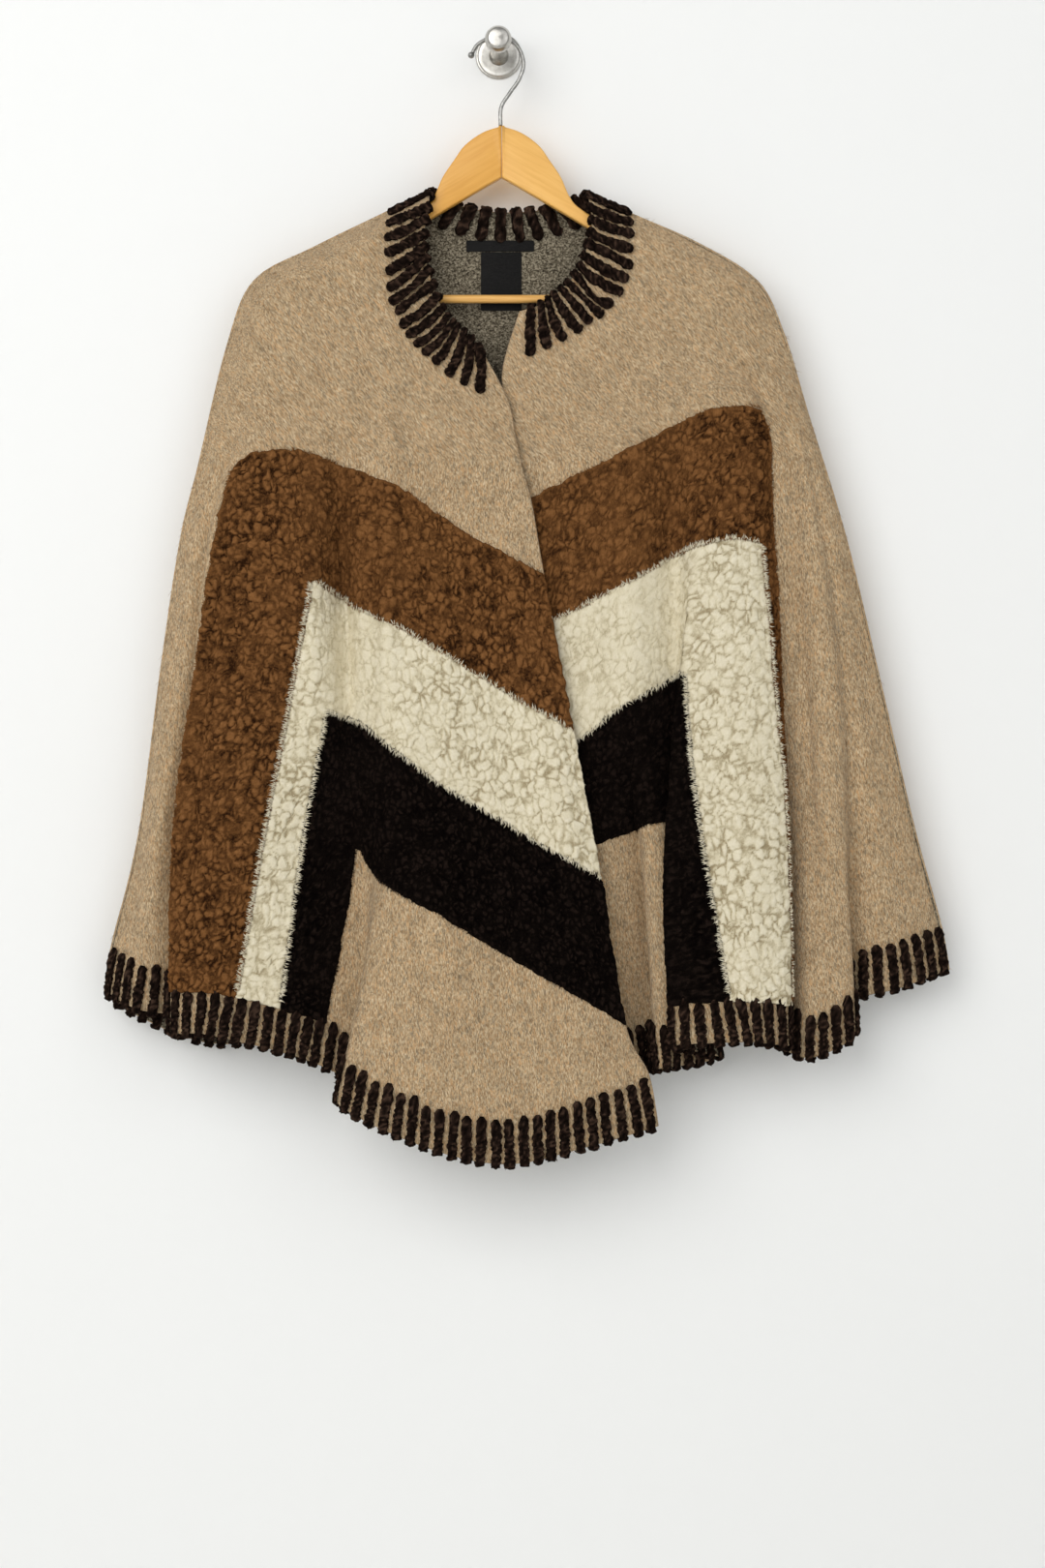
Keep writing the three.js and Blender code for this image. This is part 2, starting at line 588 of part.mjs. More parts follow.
// The hanger: half an arm's outline in the front view, right of its middle.
const HANGER_MIDDLE = 518.6;
const ARM_OUTLINE = [[0, 131], [20, 138], [38, 151], [49, 166], [61, 184], [70, 204], [82, 217],
  [119, 238], [195, 275], [242, 301], [248, 308], [241, 322], [205, 322], [201, 318], [201, 302],
  [186, 292], [138, 266], [77, 229], [0, 184]];
const RAIL_END = 200.6;
const RAIL_DOWN = 309;
const HOOK_WIRE = [[517.4, 130.6], [518, 111], [527, 96], [537, 81], [541, 64], [533, 46],
  [514, 38], [495, 45], [487, 57]];

function onHanger(across, down) {
  return place(across, down, HANGER_OUT);
}

function hangerArm(side) {
  const points = ARM_OUTLINE.map(([x, down]) => {
    const p = onHanger(HANGER_MIDDLE + side * x, down);
    return new THREE.Vector2(p.x + (side * SEAM_GAP) / 2, p.z);
  });
  const options = { depth: HANGER_THICKNESS - 2 * HANGER_BEVEL, bevelEnabled: true,
    bevelThickness: HANGER_BEVEL, bevelSize: HANGER_BEVEL, bevelOffset: -HANGER_BEVEL,
    bevelSegments: 1 };
  const arm = new THREE.ExtrudeGeometry(new THREE.Shape(points), options);
  arm.rotateX(Math.PI / 2);
  arm.translate(0, -HANGER_OUT + HANGER_THICKNESS / 2 - HANGER_BEVEL, 0);
  return geometryFrom(solidFrom(arm));
}

function circleShape(radius, sides) {
  const points = Array.from({ length: sides }, (_, i) => {
    const a = (2 * Math.PI * i) / sides;
    return new THREE.Vector2(radius * Math.cos(a), radius * Math.sin(a));
  });
  return new THREE.Shape(points);
}

function buildHanger() {
  add("hanger_arm_left", hangerArm(-1), FINISH.beech);
  add("hanger_arm_right", hangerArm(1), FINISH.beech);
  const from = onHanger(HANGER_MIDDLE - RAIL_END, RAIL_DOWN);
  const to = onHanger(HANGER_MIDDLE + RAIL_END, RAIL_DOWN);
  const rail = new THREE.CylinderGeometry(RAIL_RADIUS, RAIL_RADIUS, to.x - from.x,
    ROUND_SIDES.rail);
  rail.rotateZ(Math.PI / 2);
  rail.translate((from.x + to.x) / 2, -HANGER_OUT, (from.z + to.z) / 2);
  add("hanger_bar", rail, FINISH.beech);
  const path = new THREE.CatmullRomCurve3(HOOK_WIRE.map(([x, y]) => onHanger(x, y)));
  const wire = new THREE.ExtrudeGeometry(circleShape(WIRE_RADIUS, ROUND_SIDES.wire), {
    steps: WIRE_STEPS, extrudePath: path });
  const ball = new THREE.SphereGeometry(WIRE_BALL_RADIUS, ROUND_SIDES.wire + 2, ROUND_SIDES.wire);
  const tip = path.getPoint(1);
  ball.translate(tip.x, tip.y, tip.z);
  add("wire_hook", geometryFrom(solidFrom(wire).add(solidFrom(ball))), FINISH.steel);
}

function turnedAboutWallNormal(profile, sides) {
  const lathe = new THREE.LatheGeometry(profile.map(([r, y]) => new THREE.Vector2(r, y)), sides);
  lathe.rotateX(Math.PI);
  return lathe;
}

// The stem's foot: how much wider it is than the stem, this far above the plate. The knob: how
// much narrower it is than its full radius, this far behind its face, down to the bare stem.
const STEM_FOOT = [{ wider: 3, above: 0 }, { wider: 0.8, above: 4 }, { wider: 0, above: 10 }];
const STEM_BEHIND_FACE = 19;
const KNOB_TURN = [{ narrower: 2, behind: 15 }, { narrower: 0, behind: 11 },
  { narrower: 0, behind: 5 }, { narrower: 3, behind: 1 }];

function buildWallHook() {
  const plate = [[0, 0], [PLATE_RADIUS, 0], [PLATE_RADIUS, PLATE_THICKNESS - PLATE_BEVEL],
    [PLATE_RADIUS - PLATE_BEVEL, PLATE_THICKNESS], [0, PLATE_THICKNESS]];
  add("wall_plate", turnedAboutWallNormal(plate, ROUND_SIDES.plate), FINISH.steel);
  const root = PLATE_THICKNESS + SEAM_GAP;
  const knob = [[0, root], ...STEM_FOOT.map(({ wider, above }) => [STEM_RADIUS + wider, root + above]),
    [STEM_RADIUS, KNOB_OUT - STEM_BEHIND_FACE],
    ...KNOB_TURN.map(({ narrower, behind }) => [KNOB_RADIUS - narrower, KNOB_OUT - behind]),
    [0, KNOB_OUT]];
  add("wall_knob", turnedAboutWallNormal(knob, ROUND_SIDES.knob), FINISH.steel);
}

// Two plain labels sewn inside the back neck, each a thin plate.
const LABELS = {
  neck_label: { across: [482, 552], down: [248.5, 260], out: 25.4 },
  care_label: { across: [497, 539], down: [260.6, 321], out: 25.1 },
};
const LABEL_THICKNESS = 0.8;

function buildLabels() {
  for (const [name, { across, down, out }] of Object.entries(LABELS)) {
    const a = place(across[0], down[1], out);
    const b = place(across[1], down[0], out);
    const plate = new THREE.BoxGeometry(b.x - a.x, LABEL_THICKNESS, b.z - a.z);
    plate.translate((a.x + b.x) / 2, -out, (a.z + b.z) / 2);
    add(name, plate, FINISH.black);
  }
}

buildFront("left");
buildFront("right");
buildBack();
buildHanger();
buildWallHook();
buildLabels();

export default cape;
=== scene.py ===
# A felted wool cape with curly pile bands, hanging on a wooden hanger from a steel wall hook.
# The wall is the plane y = 0, the cape hangs on its -y side, and the origin is the centre of the
# hook plate's back face. Shapes are worked out in millimetres and put into Blender in metres.
import itertools

import bpy
import numpy as np
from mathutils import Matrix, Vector


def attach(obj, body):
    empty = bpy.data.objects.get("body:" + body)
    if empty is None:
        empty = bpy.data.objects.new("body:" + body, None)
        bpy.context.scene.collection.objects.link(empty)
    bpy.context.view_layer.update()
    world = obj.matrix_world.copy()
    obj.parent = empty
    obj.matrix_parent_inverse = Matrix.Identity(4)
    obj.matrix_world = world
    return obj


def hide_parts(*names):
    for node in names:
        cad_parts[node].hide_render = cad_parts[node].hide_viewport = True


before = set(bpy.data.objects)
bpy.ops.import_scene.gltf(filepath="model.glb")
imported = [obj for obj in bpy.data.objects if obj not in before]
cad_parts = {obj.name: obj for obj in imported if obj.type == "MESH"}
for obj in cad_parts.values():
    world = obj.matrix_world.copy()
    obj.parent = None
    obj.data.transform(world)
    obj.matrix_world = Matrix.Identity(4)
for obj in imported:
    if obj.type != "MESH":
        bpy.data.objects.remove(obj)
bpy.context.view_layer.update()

MM = 0.001

# Driving sizes of the garment
CLOTH = 3
PILE_FOOT = 0.4
UNEVEN = 0.8
UNEVEN_SIZE = 38
BAR_LENGTH = 43
HEM_BARS = {"pitch": 12.1, "width": 8.7, "height": 4.2, "wrap": 24}
NECK_BARS = {"width": 9.6, "height": 4.4, "wrap": 22}
BACK_NECK_BARS = {"pitch": 20.5, "width": 10.8, "height": 4.6, "wrap": 27}
HANGER_WIDTH = 445
HANGER_THICKNESS = 10
HANGER_OUT = 35
RAIL_RADIUS = 3.7
RAIL_HALF = 200.6
WIRE_RADIUS = 1.75
WIRE_BALL_RADIUS = 3
LABEL_THICKNESS = 0.8

# The front view: outlines are read as across and down in the picture's own units, and the
# hanger's real width sets how many millimetres one unit is. The eye is EYE_OUT from the wall.
EYE_OUT = 2435
PICTURE_DOWN = 1620
CENTRE_ACROSS = 540
CENTRE_DOWN = 810
HOOK_ACROSS = 515.5
HOOK_DOWN = 58.4
HANGER_UNITS = 516
UNIT = (HANGER_WIDTH / HANGER_UNITS) * (EYE_OUT / (EYE_OUT - HANGER_OUT))

# Cross lines, each (across, down): the neck edge of the cloth, the line over the shoulder,
# and the four pile borders. The side and front edge have a point on every line.
LEFT_FRONT = {
    "neck_edge": [(524, 412), (495, 409), (462, 390), (434, 368), (414, 340), (402, 317),
                  (397, 280), (397, 246), (400, 218)],
    "neck_opening": [(500, 365), (489, 353), (478, 342), (462, 330), (450, 305), (442, 279),
                     (437, 248), (441, 215), (443, 195)],
    "shoulder_line": [(538, 478), (478, 455), (418, 428), (352, 388), (300, 340), (262, 290)],
    "chest_line": [(204, 482), (242, 472), (294, 464), (332, 473), (414, 506), (480, 551),
                   (562, 595)],
    "bust_line": [(186, 556), (225, 562), (320, 599), (370, 628), (416, 650), (480, 689),
                  (590, 755)],
    "waist_line": [(166, 690), (200, 700), (283, 722), (335, 735), (389, 754), (430, 797),
                   (539, 862), (622, 908)],
    "hip_line": [(143, 862), (270, 872), (366, 874), (397, 913), (456, 946), (540, 996),
                 (646, 1057)],
    "side": [(400, 218), (324, 255), (262, 290), (234, 357), (204, 482), (186, 556), (166, 690),
             (143, 862), (115, 975), (108, 1023)],
    "front_edge": [(524, 412), (531, 445), (538, 478), (549, 520), (562, 595), (592, 755),
                   (621, 908), (646, 1057), (670, 1110), (680, 1163)],
    "neck_out": 54,
    "shoulder_out": 60,
}
RIGHT_FRONT = {
    "neck_edge": [(521, 376), (548, 369), (566, 364), (589, 351), (602, 345), (612, 333),
                  (625, 326), (636, 316), (651, 293), (657, 262), (657, 244), (655, 221)],
    "neck_opening": [(537, 322), (550, 319), (564, 313), (585, 296), (600, 277), (608, 254),
                     (613, 231), (609, 198)],
    "shoulder_line": [(521, 440), (590, 425), (650, 390), (710, 345), (755, 305), (783, 290)],
    "chest_line": [(520, 530), (551, 513), (610, 486), (668, 456), (724, 427), (770, 419),
                   (836, 428)],
    "bust_line": [(530, 660), (575, 639), (649, 602), (698, 572), (750, 555), (785, 560),
                  (874, 552)],
    "waist_line": [(545, 800), (601, 764), (640, 732), (702, 697), (797, 690), (907, 690)],
    "hip_line": [(570, 890), (622, 868), (694, 843), (800, 850), (944, 850)],
    "side": [(655, 221), (722, 251), (783, 290), (811, 345), (836, 428), (874, 552), (907, 690),
             (944, 850), (972, 952), (981, 1001)],
    "front_edge": [(521, 376), (520, 408), (521, 440), (522, 485), (523, 528), (530, 660),
                   (552, 795), (572, 889), (612, 1058), (625, 1108)],
    "neck_out": 45.5,
    "shoulder_out": 50,
}

# Fold lines, from the front edge round to the side seam: the share of the neck edge, across at
# the chest, bust, waist, hip and hem, down at the hem, and out at the chest, waist, hip and hem.
LEFT_FOLDS = {
    "front_roll": (0.13, 520, 538, 560, 590, 600, 1186, 68, 82, 94, 102),
    "front_hollow": (0.24, 475, 488, 500, 520, 522, 1202, 67, 82, 96, 108),
    "front_swell": (0.34, 446, 450, 452, 456, 438, 1184, 68, 86, 102, 112),
    "deep_edge": (0.44, 414, 416, 414, 400, 350, 1141, 70, 88, 96, 98),
    "deep_hollow": (0.53, 356, 364, 378, 382, 368, 1122, 64, 72, 72, 62),
    "dark_border": (0.58, 338, 350, 357, 366, 329, 1099, 63, 68, 68, 66),
    "cream_border": (0.63, 318, 336, 335, 312, 283, 1084, 63, 72, 76, 80),
    "brown_border": (0.68, 300, 320, 299, 271, 236, 1073, 64, 78, 86, 88),
    "brown_middle": (0.75, 270, 270, 248, 222, 205, 1067, 65, 80, 90, 94),
    "side_edge": (0.83, 242, 221, 201, 180, 176, 1066, 61, 73, 77, 80),
    "side_hollow": (0.88, 234, 214, 203, 188, 194, 1050, 55, 54, 50, 48),
    "side_middle": (0.94, 220, 201, 186, 164, 142, 1042, 50, 55, 58, 60),
}
RIGHT_FOLDS = {
    "under_lap": (0.14, 575, 585, 605, 618, 655, 1106, 54, 60, 62, 62),
    "inner_swell": (0.26, 636, 642, 650, 664, 686, 1103, 62, 70, 74, 74),
    "panel_hollow": (0.38, 684, 690, 696, 706, 742, 1092, 58, 60, 56, 44),
    "panel_edge": (0.45, 712, 712, 704, 694, 697, 1080, 62, 72, 84, 92),
    "cream_border": (0.5, 728, 726, 710, 722, 762, 1076, 65, 78, 88, 92),
    "cream_middle": (0.6, 756, 757, 758, 768, 790, 1077, 66, 80, 88, 92),
    "brown_border": (0.7, 780, 786, 797, 811, 817, 1080, 62, 72, 78, 80),
    "brown_edge": (0.76, 790, 799, 806, 812, 806, 1081, 54, 54, 54, 52),
    "pleat_swell": (0.82, 806, 822, 832, 842, 838, 1092, 56, 64, 70, 72),
    "pleat_edge": (0.87, 818, 842, 858, 870, 884, 1069, 55, 62, 66, 66),
    "pleat_hollow": (0.91, 825, 851, 868, 880, 872, 1036, 51, 52, 48, 44),
    "side_middle": (0.95, 831, 862, 885, 910, 930, 1020, 47, 52, 54, 54),
}

# The back panel: how far down its middle hangs on each line, and how far out it lies there.
BACK_LINES = {
    "neck": (262, 21.5),
    "yoke": (302, 21),
    "shoulder": (352, 19),
    "armhole": (408, 18),
    "chest": (480, 18),
    "bust": (572, 18),
    "waist": (705, 19),
    "hip": (860, 20),
}
BACK_HEM = [(108, 1023), (143, 1050), (176, 1070), (200, 1081), (243, 1073), (330, 1068),
            (520, 1064), (700, 1060), (800, 1050), (870, 1030), (930, 1012), (981, 1001)]
BACK_HEM_OUT = 20
BACK_NECK_DOWN = 221
BACK_NECK_OUT = 21
BACK_SHARES = np.array([0, 0.035, 0.13, 0.26, 0.38, 0.5, 0.62, 0.74, 0.87, 0.965, 1])
BACK_FOLDS = 4.5
BACK_FOLD_DEPTH = 4

# The neck bars of the fronts: where each starts on the cloth and where it reaches the neck
# opening, as shares of those two lines from the front edge to the shoulder seam
NECK_BAR_ENDS = {
    "left": [(0.11, 0.04), (0.18, 0.1), (0.255, 0.15), (0.33, 0.195), (0.39, 0.235), (0.44, 0.28),
             (0.487, 0.335), (0.533, 0.4), (0.58, 0.47), (0.635, 0.548), (0.69, 0.62),
             (0.755, 0.685), (0.825, 0.755), (0.885, 0.83), (0.94, 0.9), (0.985, 0.97)],
    "right": [(0.125, 0.08), (0.205, 0.145), (0.29, 0.2), (0.37, 0.255), (0.435, 0.31),
              (0.5, 0.37), (0.57, 0.44), (0.635, 0.505), (0.697, 0.58), (0.765, 0.655),
              (0.83, 0.73), (0.9, 0.81), (0.955, 0.89), (0.99, 0.965)],
}

# Soft creases: where each starts and ends, across and down, its width and its rise in
# millimetres, below 0 for a trough
LEFT_CREASES = [
    (346, 440, 364, 800, 13, -13.0), (346, 450, 360, 780, 6, -6.0),
    (316, 470, 324, 770, 10, 4.0), (405, 396, 401, 760, 8, 7.0), (372, 500, 384, 760, 14, -2.6),
    (438, 500, 470, 800, 18, 2.6), (498, 540, 548, 920, 20, -4.2),
    (560, 700, 612, 1000, 14, 2.6), (452, 900, 470, 1130, 20, 1.7),
    (530, 930, 560, 1150, 24, -2.2), (600, 1010, 628, 1150, 14, 1.3),
    (300, 300, 268, 480, 14, 1.4), (345, 290, 382, 430, 20, -1.2), (470, 440, 500, 560, 16, 1.0),
    (246, 420, 190, 970, 8, -6.5), (176, 640, 150, 980, 9, 3.0), (262, 640, 236, 990, 12, 1.2),
    (152, 830, 132, 1010, 7, -1.2),
]
RIGHT_CREASES = [
    (702, 420, 694, 740, 12, -7.0), (655, 460, 650, 770, 16, 2.4), (604, 500, 616, 770, 12, -2.6),
    (742, 430, 748, 640, 14, 1.4), (560, 410, 590, 570, 16, -1.2), (690, 320, 716, 440, 16, -1.2),
    (770, 600, 782, 980, 16, 1.4), (740, 750, 752, 1050, 12, -1.5), (812, 390, 846, 980, 9, -10.0),
    (846, 520, 902, 1000, 9, 3.4), (872, 600, 944, 1000, 9, -2.4), (687, 820, 690, 1110, 8, 8.0),
    (646, 780, 660, 1130, 15, -22.0), (652, 800, 660, 1140, 6, -12.0),
    (730, 290, 790, 420, 14, 1.2),
]
BACK_CREASES = [
    (300, 420, 250, 940, 15, 4.6), (380, 380, 368, 1020, 18, -4.6), (450, 460, 472, 1060, 13, 4.2),
    (540, 330, 546, 860, 20, -3.4), (610, 420, 642, 1020, 14, 4.6), (700, 400, 742, 990, 18, -4.8),
    (790, 480, 852, 990, 13, 4.4), (500, 250, 470, 430, 12, 1.8), (600, 260, 642, 440, 12, 2.0),
    (236, 560, 190, 980, 9, -3.6), (860, 560, 920, 960, 9, -3.8), (330, 640, 318, 1050, 11, 3.0),
]
SEAM_GAP = 0.3
SIDE_OUT = {"neck": 36, "shoulder": 38, "chest": 40, "waist": 38, "hip": 37, "hem": 35}
RIDGE_FALL = 30
SEAM_FALL = 24
CREASE_TAPER = 0.7

# How far from a side seam creases fade in, in folds, and the step that slopes are taken over
SEAM_FADE = 0.4
LOOK_STEP = 0.015
HAIR_STEP = 0.02

# The cross lines in order, as the v of a panel, and how finely the cloth is cut between them
LINE = {"opening": 0, "neck": 1, "shoulder": 3, "chest": 5, "bust": 6, "waist": 7, "hip": 8,
        "hem_top": 9, "hem": 10}
CLOTH_ROWS = [7, 5, 5, 8, 8, 13, 18, 22, 18, 8]
CLOTH_COLUMNS = 8


def place(across, down, out):
    """The point seen at (across, down) in the front view that stands out from the wall."""
    values = (np.asarray(v, float) for v in (across, down, out))
    across, down, out = np.broadcast_arrays(*values)
    nearer = 1 - out / EYE_OUT
    x = (across - CENTRE_ACROSS) * nearer + CENTRE_ACROSS - HOOK_ACROSS
    z = (CENTRE_DOWN - down) * nearer - CENTRE_DOWN + HOOK_DOWN
    return np.stack([x * UNIT, -out, z * UNIT], -1)


def seen_at(points):
    """Where points are seen in the front view, as across and down: place turned round."""
    nearer = 1 + points[..., 1] / EYE_OUT
    across = (points[..., 0] / UNIT + HOOK_ACROSS - CENTRE_ACROSS) / nearer + CENTRE_ACROSS
    down = CENTRE_DOWN - (points[..., 2] / UNIT + CENTRE_DOWN - HOOK_DOWN) / nearer
    return across, down


def unit(vectors):
    """Vectors brought to length 1."""
    return vectors / np.maximum(np.linalg.norm(vectors, axis=-1, keepdims=True), 1e-9)


def mix(a, b, share):
    """A value share of the way from a to b."""
    return a + (b - a) * share


def eased(t):
    """0 up to t = 0, 1 from t = 1, and a smooth S between."""
    t = np.clip(t, 0, 1)
    return t * t * (3 - 2 * t)


def down_at(line, across):
    """Down at a given across on a cross line."""
    xs, downs = np.array(line, float).T
    return np.interp(across, xs, downs)


def along_line(line, share):
    """The point at a share of a line's own length."""
    points = np.array(line, float)
    lengths = np.r_[0, np.cumsum(np.linalg.norm(np.diff(points, axis=0), axis=1))]
    return np.stack([np.interp(share * lengths[-1], lengths, p) for p in points.T], -1)


def yoke_out(front, ridge, share):
    """Stand-off along the neck or shoulder: full in front, falling to the seam on the ridge."""
    return mix(front, ridge, share**RIDGE_FALL)


def edge_outs(neck, shoulder, chest, waist, hip, hem):
    """Stand-off on every cross line for an edge that has no row in the fold table."""
    return [neck, mix(neck, shoulder, 0.5), shoulder, mix(shoulder, chest, 0.5), chest,
            mix(chest, waist, 0.5), waist, hip, mix(hip, hem, 0.7), hem]


SIDE_OUTS = edge_outs(**SIDE_OUT)
LEFT_EDGE_OUTS = edge_outs(neck=54, shoulder=60, chest=66, waist=76, hip=84, hem=92)
RIGHT_EDGE_OUTS = edge_outs(neck=45.5, shoulder=49, chest=50, waist=55, hip=58, hem=59)



def fold_points(panel, fold):
    """One fold's points on every cross line, from the neck opening to the hem."""
    share, chest, bust, waist, hip, hem, hem_down, chest_out, waist_out, hip_out, hem_out = fold
    opening = along_line(panel["neck_opening"], share)
    neck = along_line(panel["neck_edge"], share)
    shoulder = along_line(panel["shoulder_line"], share)
    neck_out = yoke_out(panel["neck_out"], SIDE_OUT["neck"], share)
    shoulder_out = yoke_out(panel["shoulder_out"], SIDE_OUT["shoulder"], share)
    opening_out = yoke_out(panel["neck_out"] - 2, SIDE_OUT["neck"], share)
    at_chest = np.array([chest, down_at(panel["chest_line"], chest)])
    at_hip = np.array([hip, down_at(panel["hip_line"], hip)])
    at_hem = np.array([hem, hem_down])
    band = BAR_LENGTH / UNIT / (at_hem[1] - at_hip[1])
    return np.array([
        place(*opening, opening_out),
        place(*neck, neck_out),
        place(*mix(neck, shoulder, 0.5), mix(neck_out, shoulder_out, 0.5)),
        place(*shoulder, shoulder_out),
        place(*mix(shoulder, at_chest, 0.5), mix(shoulder_out, chest_out, 0.5)),
        place(*at_chest, chest_out),
        place(bust, down_at(panel["bust_line"], bust), mix(chest_out, waist_out, 0.5)),
        place(waist, down_at(panel["waist_line"], waist), waist_out),
        place(*at_hip, hip_out),
        place(*mix(at_hem, at_hip, band), mix(hem_out, hip_out, band)),
        place(*at_hem, hem_out),
    ])


def front_table(panel, folds, edge_out):
    """A front's points, cross line by cross line, from its front edge round to its side seam."""
    edge = [(*panel["neck_opening"][0], panel["neck_out"] - 2)]
    edge += [(x, y, out) for (x, y), out in zip(panel["front_edge"], edge_out)]
    side = [(*panel["neck_opening"][-1], SIDE_OUT["neck"])]
    side += [(x, y, out) for (x, y), out in zip(panel["side"], SIDE_OUTS)]
    columns = [place(*np.array(edge, float).T)]
    columns += [fold_points(panel, fold) for fold in folds.values()]
    columns += [place(*np.array(side, float).T)]
    return np.stack(columns, axis=1)


def near_seam(share):
    """1 on either side seam of the back and almost 0 from a few centimetres inside it."""
    return np.abs(2 * share - 1) ** SEAM_FALL


def back_table():
    """The back's points: each line sags to its own middle between the side seams, soft folds
    grow towards the hem, and the last two lines follow the hem."""
    s = BACK_SHARES
    arch = np.sqrt(np.maximum(0, np.sin(np.pi * s)))
    left_end, right_end = LEFT_FRONT["neck_opening"][-1], RIGHT_FRONT["neck_opening"][-1]
    rise = np.maximum(0, np.sin(np.pi * s)) ** 0.6
    down = mix(mix(left_end[1], right_end[1], s), BACK_NECK_DOWN, rise)
    out = mix(BACK_NECK_OUT, SIDE_OUT["neck"], near_seam(s))
    rows = [place(mix(left_end[0], right_end[0], s), down, out)]
    lines = list(BACK_LINES.values())
    for j, (left, right) in enumerate(zip(LEFT_FRONT["side"], RIGHT_FRONT["side"])):
        across = mix(left[0], right[0], s)
        hangs, stands = lines[j] if j < len(lines) else (0, BACK_HEM_OUT)
        wave = np.sin(BACK_FOLDS * 2 * np.pi * s) * BACK_FOLD_DEPTH * (j / 9) ** 1.5
        depth = mix(stands + wave, SIDE_OUTS[j] - 2 * SEAM_GAP, near_seam(s))
        if j < len(lines):
            down = mix(mix(left[1], right[1], s), hangs, arch)
        else:
            above_hem = BAR_LENGTH / UNIT if j == len(lines) else 0
            down = down_at(BACK_HEM, across) - above_hem
        rows.append(place(across, down, depth))
    return np.array(rows)


def hashed(cells, seed):
    """A number from 0 to 1 for each whole-numbered cell: its coordinates stirred together."""
    x, y, z = (cells[..., k].astype(np.int64).astype(np.uint64) for k in range(3))
    h = x * np.uint64(73856093) ^ y * np.uint64(19349663) ^ z * np.uint64(83492791)
    h ^= np.uint64(seed * 2654435761 % 2**32)
    h = (h ^ (h >> np.uint64(13))) * np.uint64(1540483477) & np.uint64(0xFFFFFFFF)
    h = (h ^ (h >> np.uint64(15))) * np.uint64(2246822519) & np.uint64(0xFFFFFFFF)
    return ((h ^ (h >> np.uint64(13))) & np.uint64(0xFFFFFF)) / 0x1000000


def soft_noise(points, size, seed):
    """Smooth noise from -1 to 1 with lumps size across: a hashed lattice, eased between."""
    p = points / size
    cell = np.floor(p)
    f = eased(p - cell)
    total = 0
    for corner in itertools.product((0, 1), repeat=3):
        weight = np.prod(np.where(corner, f, 1 - f), axis=-1)
        total = total + weight * hashed(cell + corner, seed)
    return 2 * total - 1


def curls(points, size, seed):
    """0 in the cracks between curls and 1 on their tops: how much further the second nearest
    of the seed points, one to each cell, is than the nearest."""
    p = points / size
    cell = np.floor(p)
    first = np.full(p.shape[:-1], np.inf)
    second = first.copy()
    for step in itertools.product((-1, 0, 1), repeat=3):
        near = cell + step
        seeds = near + np.stack([hashed(near, seed + k) for k in range(3)], -1)
        d = np.linalg.norm(p - seeds, axis=-1)
        second = np.minimum(second, np.maximum(first, d))
        first = np.minimum(first, d)
    return np.clip(second - first, 0, 1)


def catmull(t):
    """The four weights of a Catmull-Rom span at t."""
    return np.stack([((2 - t) * t - 1) * t, (3 * t - 5) * t * t + 2,
                     ((4 - 3 * t) * t + 1) * t, (t - 1) * t * t]) / 2


def with_straight_ends(table):
    """A table with one more line beyond each edge, as far off as the last one inside."""
    table = np.concatenate([2 * table[:1] - table[1:2], table, 2 * table[-1:] - table[-2:-1]])
    first, last = 2 * table[:, :1] - table[:, 1:2], 2 * table[:, -1:] - table[:, -2:-1]
    return np.concatenate([first, table, last], axis=1)


def slopes(surface, u, v, step):
    """How a surface moves along u and along v, from a step before to a step after."""
    over = surface(u + step, v) - surface(u - step, v)
    down = surface(u, v + step) - surface(u, v - step)
    return over, down


class Panel:
    """One panel of cloth, as a surface of u, the fold, and v, the cross line."""

    def __init__(self, name, table, facing, folds, creases=(), seed=1):
        self.name = name
        self.table = with_straight_ends(table)
        self.facing = facing
        self.fold_names = list(folds)
        self.shares = np.array(list(folds.values()), float)
        self.creases = creases
        self.seed = seed
        self.last_u = table.shape[1] - 1
        self.last_v = table.shape[0] - 1

    def smooth(self, u, v):
        """Catmull-Rom both ways through the table."""
        j = np.clip(np.floor(v), 0, self.last_v - 1).astype(int)
        i = np.clip(np.floor(u), 0, self.last_u - 1).astype(int)
        down, over = catmull(v - j), catmull(u - i)
        return sum(
            (down[a] * over[b])[..., None] * self.table[j + a, i + b]
            for a, b in itertools.product(range(4), repeat=2)
        )

    def looks(self, surface, u, v):
        """Which way the outer face looks: the crossed slopes of a surface along u and v."""
        over, down = slopes(surface, u, v, LOOK_STEP)
        return unit(np.cross(over, down)) * self.facing

    def relief(self, points):
        """Creases, and the cloth's own unevenness, as height over the smooth surface."""
        across, down = seen_at(points)
        height = UNEVEN * soft_noise(points, UNEVEN_SIZE, self.seed)
        for x0, y0, x1, y1, width, rise in self.creases:
            way = np.array([x1 - x0, y1 - y0], float)
            length = np.hypot(*way)
            t = ((across - x0) * way[0] + (down - y0) * way[1]) / length**2
            off = ((across - x0) * way[1] - (down - y0) * way[0]) / length * UNIT
            taper = np.sin(np.pi * np.clip(t, 0, 1)) ** CREASE_TAPER
            height = height + rise * taper * np.exp(-((off / width) ** 2))
        return height

    def point(self, u, v):
        """The cloth's outer face, creases and all. They fade out at the side seams."""
        smooth = self.smooth(u, v)
        to_seam = np.minimum(u, self.last_u - u) if self.name == "back" else self.last_u - u
        rise = self.relief(smooth) * eased(to_seam / SEAM_FADE)
        return smooth + self.looks(self.smooth, u, v) * rise[..., None]

    def normal(self, u, v):
        """Which way the creased outer face looks."""
        return self.looks(self.point, u, v)

    def fold(self, name):
        """The u of a fold line."""
        return self.fold_names.index(name)


def neck_shares(folds):
    """Each fold's share of the neck edge, with the front edge and the side seam."""
    return {"front_edge": 0, **{name: fold[0] for name, fold in folds.items()}, "side": 1}


